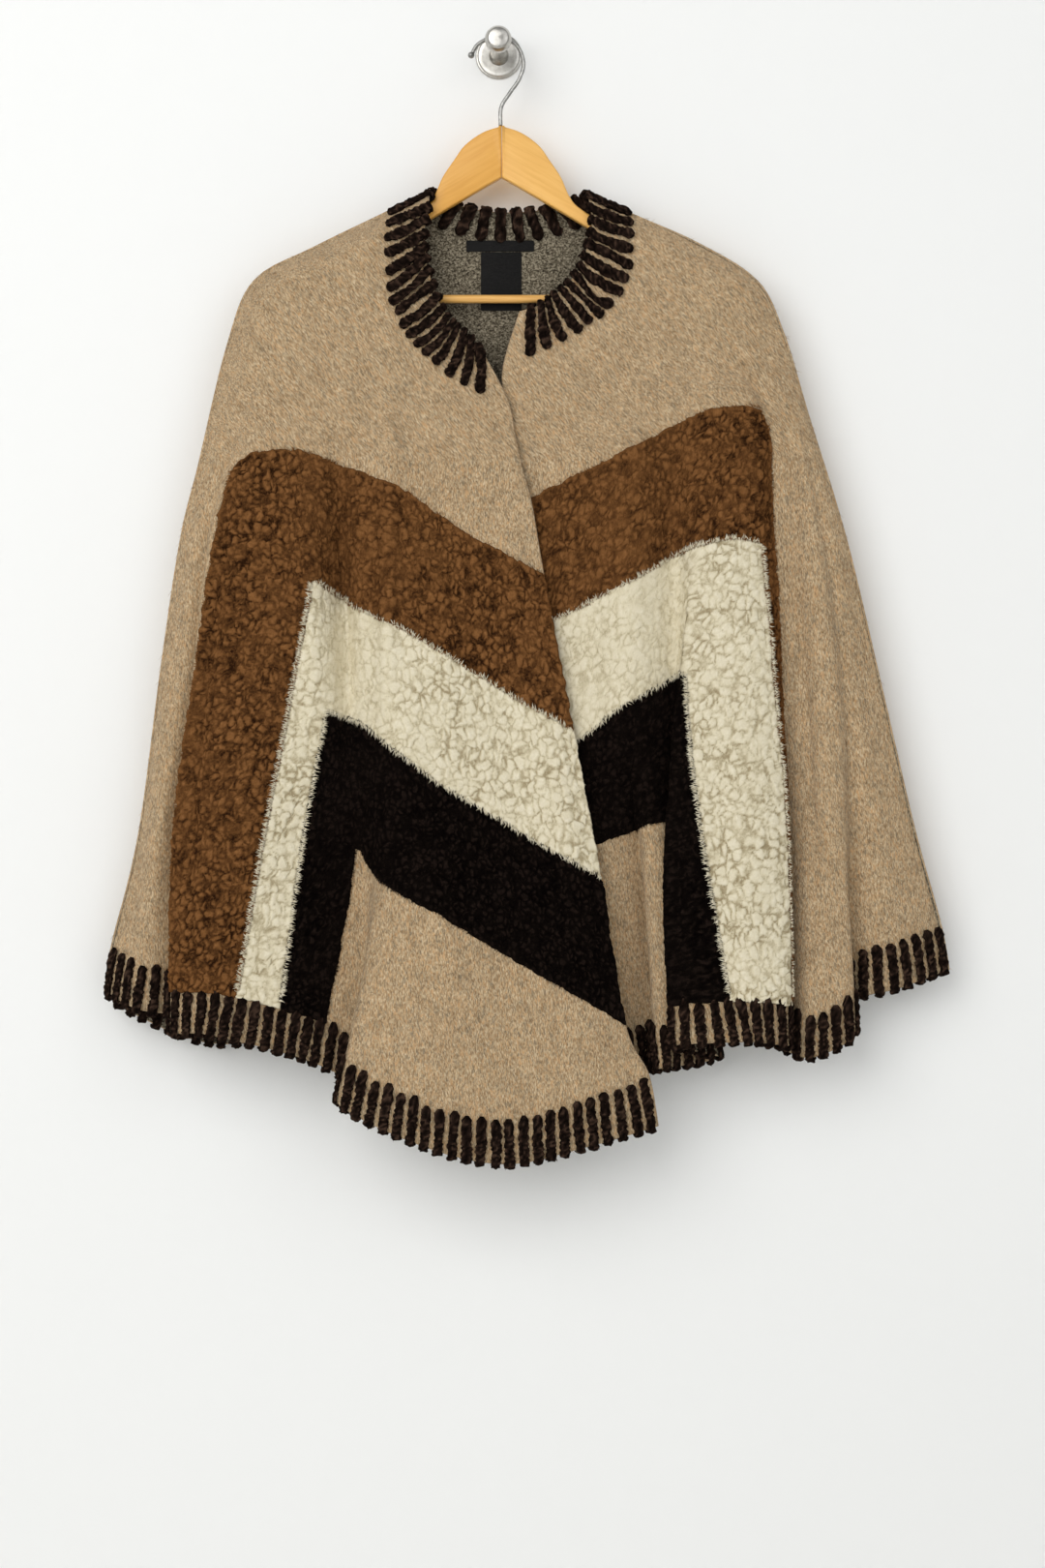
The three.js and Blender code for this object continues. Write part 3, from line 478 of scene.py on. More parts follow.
PANELS = {
    "left": Panel("left", front_table(LEFT_FRONT, LEFT_FOLDS, LEFT_EDGE_OUTS), 1,
                  neck_shares(LEFT_FOLDS), LEFT_CREASES, seed=11),
    "right": Panel("right", front_table(RIGHT_FRONT, RIGHT_FOLDS, RIGHT_EDGE_OUTS), -1,
                   neck_shares(RIGHT_FOLDS), RIGHT_CREASES, seed=12),
    "back": Panel("back", back_table(), 1, dict(enumerate(BACK_SHARES)), BACK_CREASES, seed=13),
}


def steps_between(counts):
    """0, then 1, 2 and so on, each span cut into its own count of steps."""
    spans = [k + np.arange(count) / count for k, count in enumerate(counts)]
    return np.r_[np.concatenate(spans), len(counts)]


def grid_faces(rows, columns, first=0):
    """Quads of a grid of points laid row by row."""
    j, i = np.meshgrid(np.arange(rows - 1), np.arange(columns - 1), indexing="ij")
    a = (first + j * columns + i).ravel()
    return np.stack([a, a + 1, a + columns + 1, a + columns], axis=1)


def ring_faces(rings, around, first=0):
    """Quads between rings of points, each ring closed on itself."""
    j, i = np.meshgrid(np.arange(rings - 1), np.arange(around), indexing="ij")
    a = first + j * around + i
    b = first + j * around + (i + 1) % around
    return np.stack([a, b, b + around, a + around], axis=-1).reshape(-1, 4)


def closed_rings(rings, around, first=0):
    """Faces of a closed body: quads between its rings, and a face over each end ring."""
    last = first + (rings - 1) * around
    caps = [list(range(first, first + around))[::-1], list(range(last, last + around))]
    return ring_faces(rings, around, first).tolist() + caps


def turned_over(faces):
    """The same faces, looking the other way."""
    return [face[::-1] for face in faces]


def joined(*bodies):
    """Several bodies as one: each is its points, its faces and one number for each point."""
    all_points, all_faces, all_values, first = [], [], [], 0
    for points, faces, values in bodies:
        all_points.append(points)
        all_faces += [[first + k for k in face] for face in faces]
        all_values.append(values)
        first += len(points)
    return np.concatenate(all_points), all_faces, np.concatenate(all_values)


def make_piece(name, points, faces, *finishes, slot, finish_of=None, flip=False):
    """A mesh object from points in millimetres, riding on the part's one body."""
    mesh = bpy.data.meshes.new(name)
    faces = faces.tolist() if isinstance(faces, np.ndarray) else faces
    if flip:
        faces = turned_over(faces)
    mesh.from_pydata((np.asarray(points).reshape(-1, 3) * MM).tolist(), [], faces)
    for finish in finishes:
        mesh.materials.append(finish)
    if finish_of is not None:
        mesh.polygons.foreach_set("material_index", np.asarray(finish_of, dtype=np.int32))
    mesh.polygons.foreach_set("use_smooth", np.full(len(faces), True))
    mesh.update()
    piece = bpy.data.objects.new(name, mesh)
    bpy.context.collection.objects.link(piece)
    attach(piece, "root")
    return piece


def keep_values(piece, name, values):
    """Stores one number for each point, for the piece's finish to read."""
    layer = piece.data.attributes.new(name, "FLOAT", "POINT")
    layer.data.foreach_set("value", np.asarray(values, dtype=np.float32).ravel())


def keep_places(piece, name, places):
    """Stores a place in metres for each point, for a pattern that follows the surface."""
    layer = piece.data.attributes.new(name, "FLOAT_VECTOR", "POINT")
    layer.data.foreach_set("vector", np.asarray(places, dtype=np.float32).ravel())


def arc(points, axis):
    """Distance along a grid's own lines."""
    steps = np.linalg.norm(np.diff(points, axis=axis), axis=-1)
    start = np.zeros_like(np.take(steps, [0], axis=axis))
    return np.concatenate([start, np.cumsum(steps, axis=axis)], axis=axis)


def smooth_line(points, steps):
    """A Catmull-Rom line through points, each span cut into steps."""
    points = np.asarray(points, float)
    ends = np.concatenate([2 * points[:1] - points[1:2], points, 2 * points[-1:] - points[-2:-1]])
    t = np.append(np.arange((len(points) - 1) * steps) / steps, len(points) - 1)
    span = np.minimum(t.astype(int), len(points) - 2)
    weights = catmull(t - span)
    return sum(weights[k][:, None] * ends[span + k] for k in range(4))


# Where the rings of a hair lie along it, and how thick it is there
HAIR_RINGS = ((0, 1), (0.55, 0.75))


def spikes(roots, ways, ups, lengths, widths, droop=0.0, bent=True):
    """Closed tapering hairs: each is a small triangle at its root, carried along its way and
    bent by droop times its length, and ends in a point. A hair that isn't bent has no ring
    between. Gives the points, the faces and how many points a hair has."""
    side = unit(np.cross(ways, ups))
    raised = np.cross(ways, side)
    angles = np.pi / 2 + 2 * np.pi * np.arange(3) / 3
    corners = (side[:, None] * np.cos(angles)[:, None] + raised[:, None] * np.sin(angles)[:, None])
    rings = []
    for t, thick in HAIR_RINGS if bent else HAIR_RINGS[:1]:
        centre = roots + ways * (lengths * t)[:, None] + ups * (droop * lengths * t * t)[:, None]
        rings.append(centre[:, None] + corners * (widths / 2 * thick)[:, None, None])
    tips = roots + ways * lengths[:, None] + ups * (droop * lengths)[:, None]
    points = np.concatenate([*rings, tips[:, None]], axis=1)
    end = points.shape[1] - 1
    one = [[0, 2, 1]]
    if bent:
        one += [[0, 1, 4, 3], [1, 2, 5, 4], [2, 0, 3, 5]]
    one += [[end - 3, end - 2, end], [end - 2, end - 1, end], [end - 1, end - 3, end]]
    faces = []
    for k in range(len(points)):
        first = k * (end + 1)
        faces += [[first + i for i in face] for face in one]
    return points.reshape(-1, 3), faces, end + 1


# Finishes


def colour(red, green, blue):
    """A colour as a screen shows it, from 0 to 255, turned into linear light."""
    c = np.array([red, green, blue]) / 255
    linear = np.where(c <= 0.04045, c / 12.92, ((c + 0.055) / 1.055) ** 2.4)
    return (*linear, 1)


# The mix node's sockets for colours: its factor, its two colours, and what comes out
MIX_COLOURS = (0, 6, 7)
MIXED_COLOUR = 2


class Finish:
    """A material, with short-hands for the nodes that its recipe uses."""

    def __init__(self, name, roughness, **sockets):
        self.material = bpy.data.materials.new(name)
        self.material.use_nodes = True
        self.tree = self.material.node_tree
        self.shader = self.tree.nodes["Principled BSDF"]
        self.shader.inputs["Roughness"].default_value = roughness
        for socket, value in sockets.items():
            self.shader.inputs[socket.replace("_", " ")].default_value = value

    def feed(self, node, inputs):
        """Sets a node's inputs, or links them where the value is another node's output."""
        for name, value in dict(inputs).items():
            if isinstance(value, bpy.types.NodeSocket):
                self.tree.links.new(value, node.inputs[name])
            else:
                node.inputs[name].default_value = value

    def node(self, kind, inputs=(), **settings):
        """A node with its settings, and its inputs set or linked."""
        node = self.tree.nodes.new(kind)
        for name, value in settings.items():
            setattr(node, name, value)
        self.feed(node, inputs)
        return node

    def grain(self, size, stretch=(1, 1, 1), detail=2.0, turn=(0, 0, 0), distort=0.0, lay=False):
        """Noise whose lumps are size millimetres across times stretch, turned as a whole, on
        the piece's own space or on the lay of its cloth."""
        if lay:
            where = self.node("ShaderNodeAttribute", attribute_name="lay").outputs["Vector"]
        else:
            where = self.node("ShaderNodeTexCoord").outputs["Object"]
        scale = tuple(size * MM * s for s in stretch)
        where = self.node("ShaderNodeMapping", {"Vector": where, "Scale": scale, "Rotation": turn},
                          vector_type="TEXTURE").outputs["Vector"]
        noise = self.node("ShaderNodeTexNoise", {"Vector": where, "Scale": 1.0,
                                                 "Detail": detail, "Distortion": distort})
        return noise.outputs["Fac"]

    def value(self, name):
        """The number that a piece keeps for each of its points."""
        return self.node("ShaderNodeAttribute", attribute_name=name).outputs["Fac"]

    def steps(self, factor, *stops):
        """A colour ramp: stops are (position, colour)."""
        ramp = self.node("ShaderNodeValToRGB", {"Fac": factor})
        elements = ramp.color_ramp.elements
        while len(elements) < len(stops):
            elements.new(0.5)
        for element, (position, shade) in zip(elements, stops):
            element.position = position
            element.color = shade
        return ramp.outputs["Color"]

    def between(self, factor, a, b, blend="MIX"):
        """Two colours mixed by a factor."""
        node = self.node("ShaderNodeMix", data_type="RGBA", blend_type=blend)
        self.feed(node, zip(MIX_COLOURS, (factor, a, b)))
        return node.outputs[MIXED_COLOUR]

    def sum(self, a, b, weight):
        """a plus b times a weight."""
        node = self.node("ShaderNodeMath", operation="MULTIPLY_ADD")
        self.feed(node, enumerate((b, weight, a)))
        return node.outputs[0]

    def paint(self, shade):
        """Sets the base colour."""
        self.tree.links.new(shade, self.shader.inputs["Base Color"])

    def bump(self, height, depth, strength):
        """Raises the surface by a height, depth millimetres at most."""
        bump = self.node("ShaderNodeBump", {"Height": height, "Distance": depth * MM,
                                            "Strength": strength})
        self.tree.links.new(bump.outputs["Normal"], self.shader.inputs["Normal"])


def grey_level(level):
    """A plain grey from 0 to 1, as a ramp or a mix reads it."""
    return (level, level, level, 1)


BLACK = grey_level(0)
PALE = grey_level(0.8)
WHITE = grey_level(1)


def felt(name, dark, middle, light, warm, grey):
    """Brushed felt: fine fibres of several tones that follow the lay of the cloth, some warm
    and some grey strands between them, and a faint cloudiness over all."""
    finish = Finish(name, 0.95, Sheen_Weight=0.08, Sheen_Roughness=0.6, Specular_IOR_Level=0.1)
    fibres = finish.grain(0.9, (1, 3.6, 1), detail=3, distort=0.5, lay=True)
    shade = finish.steps(fibres, (0.36, dark), (0.5, middle), (0.64, light))
    strands = finish.grain(1.6, (1, 3.2, 1), detail=2, distort=0.9, lay=True)
    warm_share = finish.steps(strands, (0.55, BLACK), (0.66, PALE))
    grey_share = finish.steps(strands, (0.34, PALE), (0.45, BLACK))
    shade = finish.between(warm_share, shade, warm)
    shade = finish.between(grey_share, shade, grey)
    cloud = finish.grain(11, (1, 1.6, 1), detail=4, distort=0.6, lay=True)
    veil = finish.steps(cloud, (0.32, grey_level(0.84)), (0.6, WHITE))
    finish.paint(finish.between(1.0, shade, veil, "MULTIPLY"))
    finish.bump(finish.sum(fibres, strands, 0.8), 0.9, 0.9)
    return finish.material


def melange(name, dark, middle, light):
    """The unbrushed inside: knitted yarn of dark and light strands, speckled all over."""
    finish = Finish(name, 0.95, Specular_IOR_Level=0.08)
    specks = finish.grain(1.9, (1, 1, 0.8), detail=3, distort=0.8)
    finish.paint(finish.steps(specks, (0.38, dark), (0.5, middle), (0.62, light)))
    finish.bump(specks, 0.7, 0.8)
    return finish.material


def curly_painted_shade(name, crack, body, tip, depth=0.8):
    """Curly pile: painted shade down in the cracks and painted light on the tops, after each
    point's curl value, with a fine woolly grain.
    """
    finish = Finish(name, 1.0, Specular_IOR_Level=0.02)
    wool = finish.grain(1.1, (1, 1, 1.5), detail=2, distort=0.7)
    # The curl value paints shade into the cracks and light onto the tops
    tone = finish.sum(finish.value("curl"), finish.sum(wool, -0.5, 1.0), 0.5)
    finish.paint(finish.steps(tone, (0.12, crack), (0.52, body), (0.95, tip)))
    finish.bump(wool, depth, 0.8)
    return finish.material


def loose_wool(name, dark, middle, light):
    """Single loose hairs, each of its own tone."""
    finish = Finish(name, 0.9, Specular_IOR_Level=0.1)
    finish.paint(finish.steps(finish.value("tone"), (0.1, dark), (0.5, middle), (0.9, light)))
    return finish.material


def varnished_wood(name, ring, body, pale, slope):
    """Honey-coloured wood under varnish: long fine grain that runs along the piece."""
    finish = Finish(name, 0.38, Coat_Weight=0.12, Coat_Roughness=0.2, Specular_IOR_Level=0.3)
    lines = finish.grain(2.4, (14, 1, 1), detail=4, turn=(0, slope, 0), distort=0.4)
    broad = finish.grain(22, (5, 1, 1), detail=2, turn=(0, slope, 0), distort=0.6)
    tone = finish.sum(finish.sum(lines, -0.25, 1.0), broad, 0.5)
    finish.paint(finish.steps(tone, (0.28, ring), (0.5, body), (0.72, pale)))
    finish.bump(lines, 0.02, 0.4)
    return finish.material


def turned_steel(name, dark, pale, roughness, turned):
    """Brushed steel: fine lines round the lathe's axis, or plain along a wire."""
    finish = Finish(name, roughness, Metallic=1.0, Anisotropic=0.75 if turned else 0.3)
    if turned:
        round_axis = finish.node("ShaderNodeTangent", direction_type="RADIAL", axis="Y")
        finish.tree.links.new(round_axis.outputs[0], finish.shader.inputs["Tangent"])
    wear = finish.grain(3.5, detail=4, distort=0.5)
    finish.paint(finish.steps(wear, (0.35, dark), (0.65, pale)))
    finish.bump(finish.grain(0.35, detail=2), 0.02, 0.4)
    return finish.material


def woven_tape(name, dark, pale):
    """A label's tight satin weave: threads across over threads down."""
    finish = Finish(name, 0.6, Specular_IOR_Level=0.12)
    across = finish.grain(0.45, (6, 1, 1), detail=1)
    down = finish.grain(0.45, (1, 1, 6), detail=1)
    finish.paint(finish.steps(finish.sum(across, down, 0.4), (0.5, dark), (0.9, pale)))
    finish.bump(finish.sum(across, down, 1.0), 0.12, 0.7)
    return finish.material


FELT_OUT = felt("beige_felt", colour(142, 116, 84), colour(180, 154, 119), colour(208, 187, 154),
                colour(195, 156, 112), colour(132, 118, 96))
FELT_IN = melange("grey_inside", colour(54, 48, 39), colour(99, 91, 76), colour(146, 137, 118))
LOOSE_WOOL = loose_wool("beige_loose_wool", colour(140, 115, 84), colour(186, 160, 124),
                        colour(216, 196, 164))
# Each curly finish runs from painted shade in the cracks, through the pile's own colour, to painted
# light on the tops
BROWN_CURLS = curly_painted_shade("brown_curls", colour(38, 21, 9), colour(100, 66, 36), colour(138, 95, 56))
CREAM_CURLS = curly_painted_shade("cream_curls", colour(152, 138, 108), colour(208, 198, 170),
                    colour(228, 220, 198), depth=0.5)
DARK_CURLS = curly_painted_shade("dark_curls", colour(4, 2, 2), colour(13, 9, 7), colour(36, 27, 23))
YARN = curly_painted_shade("dark_yarn_bars", colour(8, 5, 4), colour(34, 24, 19), colour(78, 60, 49))
# The left arm's wood is a darker copy with painted shade, and the right arm's a lighter copy with
# painted light, of the same wood
SHADED_LEFT_WOOD = varnished_wood("honey_wood_left_painted_shade", colour(212, 154, 68), colour(218, 161, 75),
                           colour(222, 167, 82), -0.52)
LIT_RIGHT_WOOD = varnished_wood("honey_wood_right_painted_light", colour(222, 168, 86), colour(229, 176, 94),
                            colour(233, 182, 101), 0.52)
RAIL_WOOD = varnished_wood("honey_wood_rail", colour(208, 153, 80), colour(222, 170, 94),
                           colour(232, 182, 106), 0)
TURNED_STEEL = turned_steel("turned_steel", colour(176, 173, 167), colour(196, 194, 188), 0.3, True)
WIRE_STEEL = turned_steel("wire_steel", colour(128, 127, 124), colour(176, 175, 171), 0.3, False)
LABEL_WEAVE = woven_tape("black_label_weave", colour(6, 5, 5), colour(21, 20, 19))


# Cloth panels

# How aslant the fibres of the felt lie above the chest line and below it
YOKE_LEAN = {"left": 0.7, "right": 0.7, "back": 0.1}
SKIRT_LEAN = {"left": 0.08, "right": 0.15, "back": 0}


def lay_of(panel, points):
    """Where each point lies on the lay of the cloth, in metres: across, up and out from the
    wall. Across is sheared so that the fibres lie aslant in the yoke and almost straight down
    below the chest."""
    x, y, z = points.reshape(-1, 3).T
    above = z - place(*LEFT_FRONT["chest_line"][0], 0)[2]
    lean = YOKE_LEAN[panel.name] * np.maximum(above, 0)
    lean = lean + SKIRT_LEAN[panel.name] * np.minimum(above, 0)
    return np.stack([x + lean, z, y], -1) * MM


def border_of(rows, columns):
    """The indices round a grid's border, and of each one's neighbour inside it."""
    index = np.arange(rows * columns).reshape(rows, columns)
    loop = np.concatenate([index[0, :-1], index[:-1, -1], index[-1, :0:-1], index[:0:-1, 0]])
    row, column = loop // columns, loop % columns
    inner = index[np.clip(row, 1, rows - 2), np.clip(column, 1, columns - 2)]
    return loop, inner


def cloth_shell(panel):
    """A closed wall of cloth on the whole panel: its outer face, its inner face CLOTH behind,
    and a rounded edge between them."""
    v = steps_between(CLOTH_ROWS)
    u = steps_between([CLOTH_COLUMNS] * panel.last_u)
    uu, vv = np.meshgrid(u, v)
    outer = panel.point(uu, vv)
    normals = panel.normal(uu, vv)
    inner = outer - normals * CLOTH
    rows, columns = uu.shape
    loop, inside = border_of(rows, columns)
    middle = (outer - normals * CLOTH / 2).reshape(-1, 3)
    edge = middle[loop] + unit(middle[loop] - middle[inside]) * CLOTH / 3
    count = rows * columns
    points = np.concatenate([outer.reshape(-1, 3), inner.reshape(-1, 3), edge])
    front = grid_faces(rows, columns)
    back = grid_faces(rows, columns, count)[:, ::-1]
    at_edge = 2 * count + np.arange(len(loop))
    after = np.roll(loop, -1)
    edge_after = np.roll(at_edge, -1)
    rims = np.concatenate([np.stack([after, loop, at_edge, edge_after], 1),
                           np.stack([edge_after, at_edge, loop + count, after + count], 1)])
    faces = np.concatenate([front, back, rims])
    finish_of = np.r_[np.zeros(len(front)), np.ones(len(back)), np.zeros(len(rims))]
    node = "back" if panel.name == "back" else f"front_{panel.name}"
    piece = make_piece(f"{node}_cloth", points, faces, FELT_OUT, FELT_IN, finish_of=finish_of,
                       slot="beige_knit", flip=panel.facing < 0)
    keep_places(piece, "lay", lay_of(panel, points))
    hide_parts(node)
    return piece


# Loose hairs of the felt: how many, how far they scatter, lift and reach, and how thick
LOOSE_HAIRS = {"left": 9000, "right": 8000, "back": 7000}
LOOSE_HAIR = {"scatter": 0.5, "lift": (0.1, 0.45), "length": (3.5, 7.5), "width": (0.3, 0.6),
              "sunk": 0.3}
HAIR_TRIES = 6
LARGEST_CELL = 0.98


def under_pile(side, u, v):
    """Where a front is covered by its pile bands."""
    panel = PANELS[side]
    outer = panel.fold(PILE_FOLDS[side]["brown"][0])
    inner = panel.fold(PILE_FOLDS[side]["dark"][1]) + DARK_STOPS_BEFORE[side]
    return (u < outer) & (v > LINE["chest"]) & ~((v > LINE["hip"]) & (u < inner))


def loose_hairs(side, seed):
    """Single hairs that stand off the felt and soften its outline, spread evenly over it and
    combed down and a little sideways."""
    panel, rng = PANELS[side], np.random.default_rng(seed)
    u = rng.uniform(0, panel.last_u, LOOSE_HAIRS[side] * HAIR_TRIES)
    v = rng.uniform(0.2, panel.last_v, len(u))
    over, down = slopes(panel.smooth, u, v, HAIR_STEP)
    area = np.linalg.norm(np.cross(over, down), axis=-1)
    fits = rng.uniform(0, 1, len(u)) < area / np.quantile(area, LARGEST_CELL)
    if side != "back":
        fits &= ~under_pile(side, u, v)
    kept = np.flatnonzero(fits)[: LOOSE_HAIRS[side]]
    u, v, over, down = u[kept], v[kept], unit(over[kept]), unit(down[kept])
    to_right = -panel.facing if side != "back" else 1
    lean = np.where(v < LINE["chest"], YOKE_LEAN[side], SKIRT_LEAN[side]) * to_right
    lean = lean + rng.normal(0, LOOSE_HAIR["scatter"], len(u))
    up = panel.normal(u, v)
    way = unit(down + over * lean[:, None] + up * rng.uniform(*LOOSE_HAIR["lift"], (len(u), 1)))
    roots = panel.point(u, v) - up * LOOSE_HAIR["sunk"]
    lengths = rng.uniform(*LOOSE_HAIR["length"], len(u))
    widths = rng.uniform(*LOOSE_HAIR["width"], len(u))
    points, faces, each = spikes(roots, way, up, lengths, widths, bent=False)
    piece = make_piece(f"loose_wool_{side}", points, faces, LOOSE_WOOL, slot="beige_knit")
    keep_values(piece, "tone", np.repeat(rng.uniform(0, 1, len(u)), each))
    return piece


# Pile bands

COARSE = 4
PILE_CELL = 1.3
PILES = {
    "brown": {"lines": ("chest", "bust"), "height": 4.6, "curl": 6.6, "relief": 3.0,
              "crack": 0.44, "calm": 0.72, "corner": 21, "finish": BROWN_CURLS, "seed": 21},
    "cream": {"lines": ("bust", "waist"), "height": 4.8, "curl": 8.2, "relief": 2.2,
              "crack": 0.3, "calm": 0.4, "corner": 5, "finish": CREAM_CURLS, "seed": 22},
    "dark": {"lines": ("waist", "hip"), "height": 4.2, "curl": 5.6, "relief": 2.0,
             "crack": 0.44, "calm": 0.6, "corner": 5, "finish": DARK_CURLS, "seed": 23},
}
PILE_FOLDS = {
    "left": {"brown": ("side_edge", "brown_border"), "cream": ("brown_border", "cream_border"),
             "dark": ("cream_border", "dark_border")},
    "right": {"brown": ("brown_edge", "brown_border"), "cream": ("brown_border", "cream_border"),
              "dark": ("cream_border", "panel_hollow")},
}
DARK_STOPS_BEFORE = {"left": 0, "right": 0.5}
ROUNDING = 1.3
# How far in from a band's border, and at what middle level, its painted crack shade and top light
# are held
PILE_RIM = 3
PILE_RIM_SHADE_LEVEL = 0.6
OVERLAP = 1.5
PILE_LAP = 0.07
RAGGED = 1.5
RAGGED_SIZE = 7
SMALL_CURL = 0.5
LUMP_SIZE = 0.6

# How curls are drawn: taller than wide, on cells warped by a share of a curl, with cracks that
# break off here and there and are shallow in whole patches, and what each adds to the height
TALL_CURLS = np.array([1.15, 1, 0.85])
WARP = {"size": 0.8, "far": 0.36}
BROKEN = {"size": 1.1, "least": 0.6}
PATCHES = {"size": 34, "least": 0.8}
CURL_RISE = {"plain": 0.66, "small": 0.18, "lumps": 0.12, "crack": 0.62}

# How deep the cracks between curls are at each place across: deep where the cloth swells
LIVELY = {
    "left": [(180, 0.9), (240, 1), (322, 1), (342, 0.3), (400, 0.3), (430, 0.9), (600, 0.9)],
    "right": [(560, 0.8), (600, 0.4), (700, 0.2), (722, 1), (810, 1)],
}

# Hairs of the pile for each millimetre of its top, outer, bottom and inner border, and how long
BORDER_HAIRS = {
    "brown": {"density": (0.5, 0.8, 1.5, 1.4), "length": (2.5, 5),
              "low": (True, True, False, False)},
    "cream": {"density": (1.2, 1.6, 1.2, 1.4), "length": (3, 6),
              "low": (False, False, False, False)},
    "dark": {"density": (1.4, 1.5, 1.0, 1.0), "length": (2.5, 5),
             "low": (False, False, True, True)},
}
BORDER_HAIR = {"scatter": 0.5, "lift": (-0.05, 0.3), "back": (0.4, 2.2), "width": (0.7, 1.1),
               "droop": -0.12, "low_lift": -0.35, "tone": (0.45, 0.95)}
BORDER_POINTS = 300
HAIR_FOOT = {"low": 0.55, "high": 0.88}
PILE_HAIRS = 2200
PILE_HAIR = {"upright": 0.6, "length": (1.2, 2.4), "width": (0.7, 1.0), "sunk": 0.4,
             "tone": (0.4, 1)}


def steps_for(lengths):
    """Steps of about PILE_CELL for spans of these lengths, each a multiple of 2 * COARSE."""
    whole = 2 * COARSE
    return np.maximum(1, np.round(np.asarray(lengths) / PILE_CELL / whole)).astype(int) * whole


def corner_pull(from_top, from_side, radius):
    """How far points near a square corner move down and in to make it a round one."""
    a, b = radius - from_top, radius - from_side
    share = 1 - np.maximum(a, b) / np.maximum(np.hypot(a, b), 1e-9)
    share = np.where((a > 0) & (b > 0), share, 0)
    return a * share, b * share


def curl_relief(side, pile, ground):
    """0 in the cracks and 1 on the tops. The cracks are the borders between warped cells, each
    stretch of a different depth, and small lumps lie on the tops."""
    curl, seed = pile["curl"], pile["seed"]
    warp = np.stack([soft_noise(ground, curl * WARP["size"], seed + 40 + k) for k in range(3)], -1)
    warp = warp * curl * WARP["far"]
    tops = eased(curls((ground + warp) * TALL_CURLS, curl, seed) / pile["crack"])
    broken = eased(0.55 + 0.9 * soft_noise(ground, curl * BROKEN["size"], seed + 7))
    patchy = eased(0.6 + 0.7 * soft_noise(ground, PATCHES["size"], seed + 8))
    lively = np.interp(seen_at(ground)[0], *np.array(LIVELY[side], float).T)
    lively = mix(pile["calm"], 1, lively)
    small = eased(curls(ground - warp, curl * SMALL_CURL, seed + 5) / 0.5)
    lumps = 0.5 * soft_noise(ground, curl * LUMP_SIZE, seed + 9)
    crack = (1 - tops) * mix(BROKEN["least"], 1, broken) * mix(PATCHES["least"], 1, patchy) * lively
    raised = CURL_RISE["small"] * small * lively + CURL_RISE["lumps"] * lumps
    return np.clip(CURL_RISE["plain"] + raised - CURL_RISE["crack"] * crack, 0, 1)


def border_hairs(panel, pile_name, outer, inner, rng):
    """Hairs that cross the four borders of a pile band, over the pile or the felt beside it."""
    pile, hairs = PILES[pile_name], BORDER_HAIRS[pile_name]
    top, bottom = (LINE[line] for line in pile["lines"])
    low_end = LINE["hem_top"]
    borders = [((0, top), (outer, top), (0, -1)), ((outer, top), (outer, low_end), (1, 0)),
               ((0, bottom), (inner, bottom), (0, 1)), ((inner, bottom), (inner, low_end), (-1, 0))]
    roots, ways, ups = [], [], []
    for k, (start, end, outward) in enumerate(borders):
        u, v = (np.linspace(a, b, BORDER_POINTS) for a, b in zip(start, end))
        length = arc(panel.smooth(u, v), 0)[-1]
        share = rng.uniform(0, 1, int(length * hairs["density"][k]))
        from_corner = length * (1 - share if k == 0 else share)
        share = share[(k > 1) | (from_corner > pile["corner"])]
        u, v = mix(start[0], end[0], share), mix(start[1], end[1], share)
        over, down = (unit(way) for way in slopes(panel.smooth, u, v, HAIR_STEP))
        up = panel.normal(u, v)
        out_way = over * outward[0] + down * outward[1]
        along = over * abs(outward[1]) + down * abs(outward[0])
        aside = rng.normal(0, BORDER_HAIR["scatter"], (len(u), 1))
        lift = rng.uniform(*BORDER_HAIR["lift"], (len(u), 1))
        foot = HAIR_FOOT["low" if hairs["low"][k] else "high"]
        if hairs["low"][k]:
            lift = lift + BORDER_HAIR["low_lift"]
        back = rng.uniform(*BORDER_HAIR["back"], (len(u), 1))
        roots.append(panel.point(u, v) + up * pile["height"] * foot - out_way * back)
        ways.append(unit(out_way + along * aside + up * lift))
        ups.append(up)
    return np.concatenate(roots), np.concatenate(ways), np.concatenate(ups)


def pile_grid(panel, outer, top, bottom):
    """The u and v of a band's fine grid lines, from the front edge to its outer fold and from
    its top line to the hem, where it laps a little over the bars."""
    lines = np.arange(top, LINE["hem_top"] + 1.0)
    rough = panel.smooth(*np.meshgrid(np.arange(outer + 1.0), lines))
    across = np.linalg.norm(np.diff(rough, axis=1), axis=-1)[: bottom - top + 1].max(axis=0)
    along = np.linalg.norm(np.diff(rough, axis=0), axis=-1).mean(axis=1)
    u = steps_between(steps_for(across))
    v = top + steps_between(steps_for(along))
    return u, v + PILE_LAP * np.clip(v - LINE["hip"], 0, 1)


def ragged_border(ground, inside, down, to_outer, corner):
    """How far each point of a band moves within the cloth: out past the border at its rim,
    round at the outer top corner, and a little to and fro everywhere."""
    over_way = unit(np.gradient(ground, axis=1))
    down_way = unit(np.gradient(ground, axis=0))
    lower, further_in = corner_pull(down, to_outer, corner)
    drift = [soft_noise(ground, RAGGED_SIZE, seed) * RAGGED
             + soft_noise(ground, RAGGED_SIZE / 3, seed + 9) * RAGGED * 0.6 for seed in (31, 32)]
    rim = OVERLAP * np.clip(1 - inside / (3 * OVERLAP), 0, 1)
    slope = np.stack([np.gradient(inside, axis=1), np.gradient(inside, axis=0)], -1)
    past = -unit(slope) * rim[..., None]
    moved = over_way * (drift[0] - further_in + past[..., 0])[..., None]
    return moved + down_way * (drift[1] + lower + past[..., 1])[..., None]


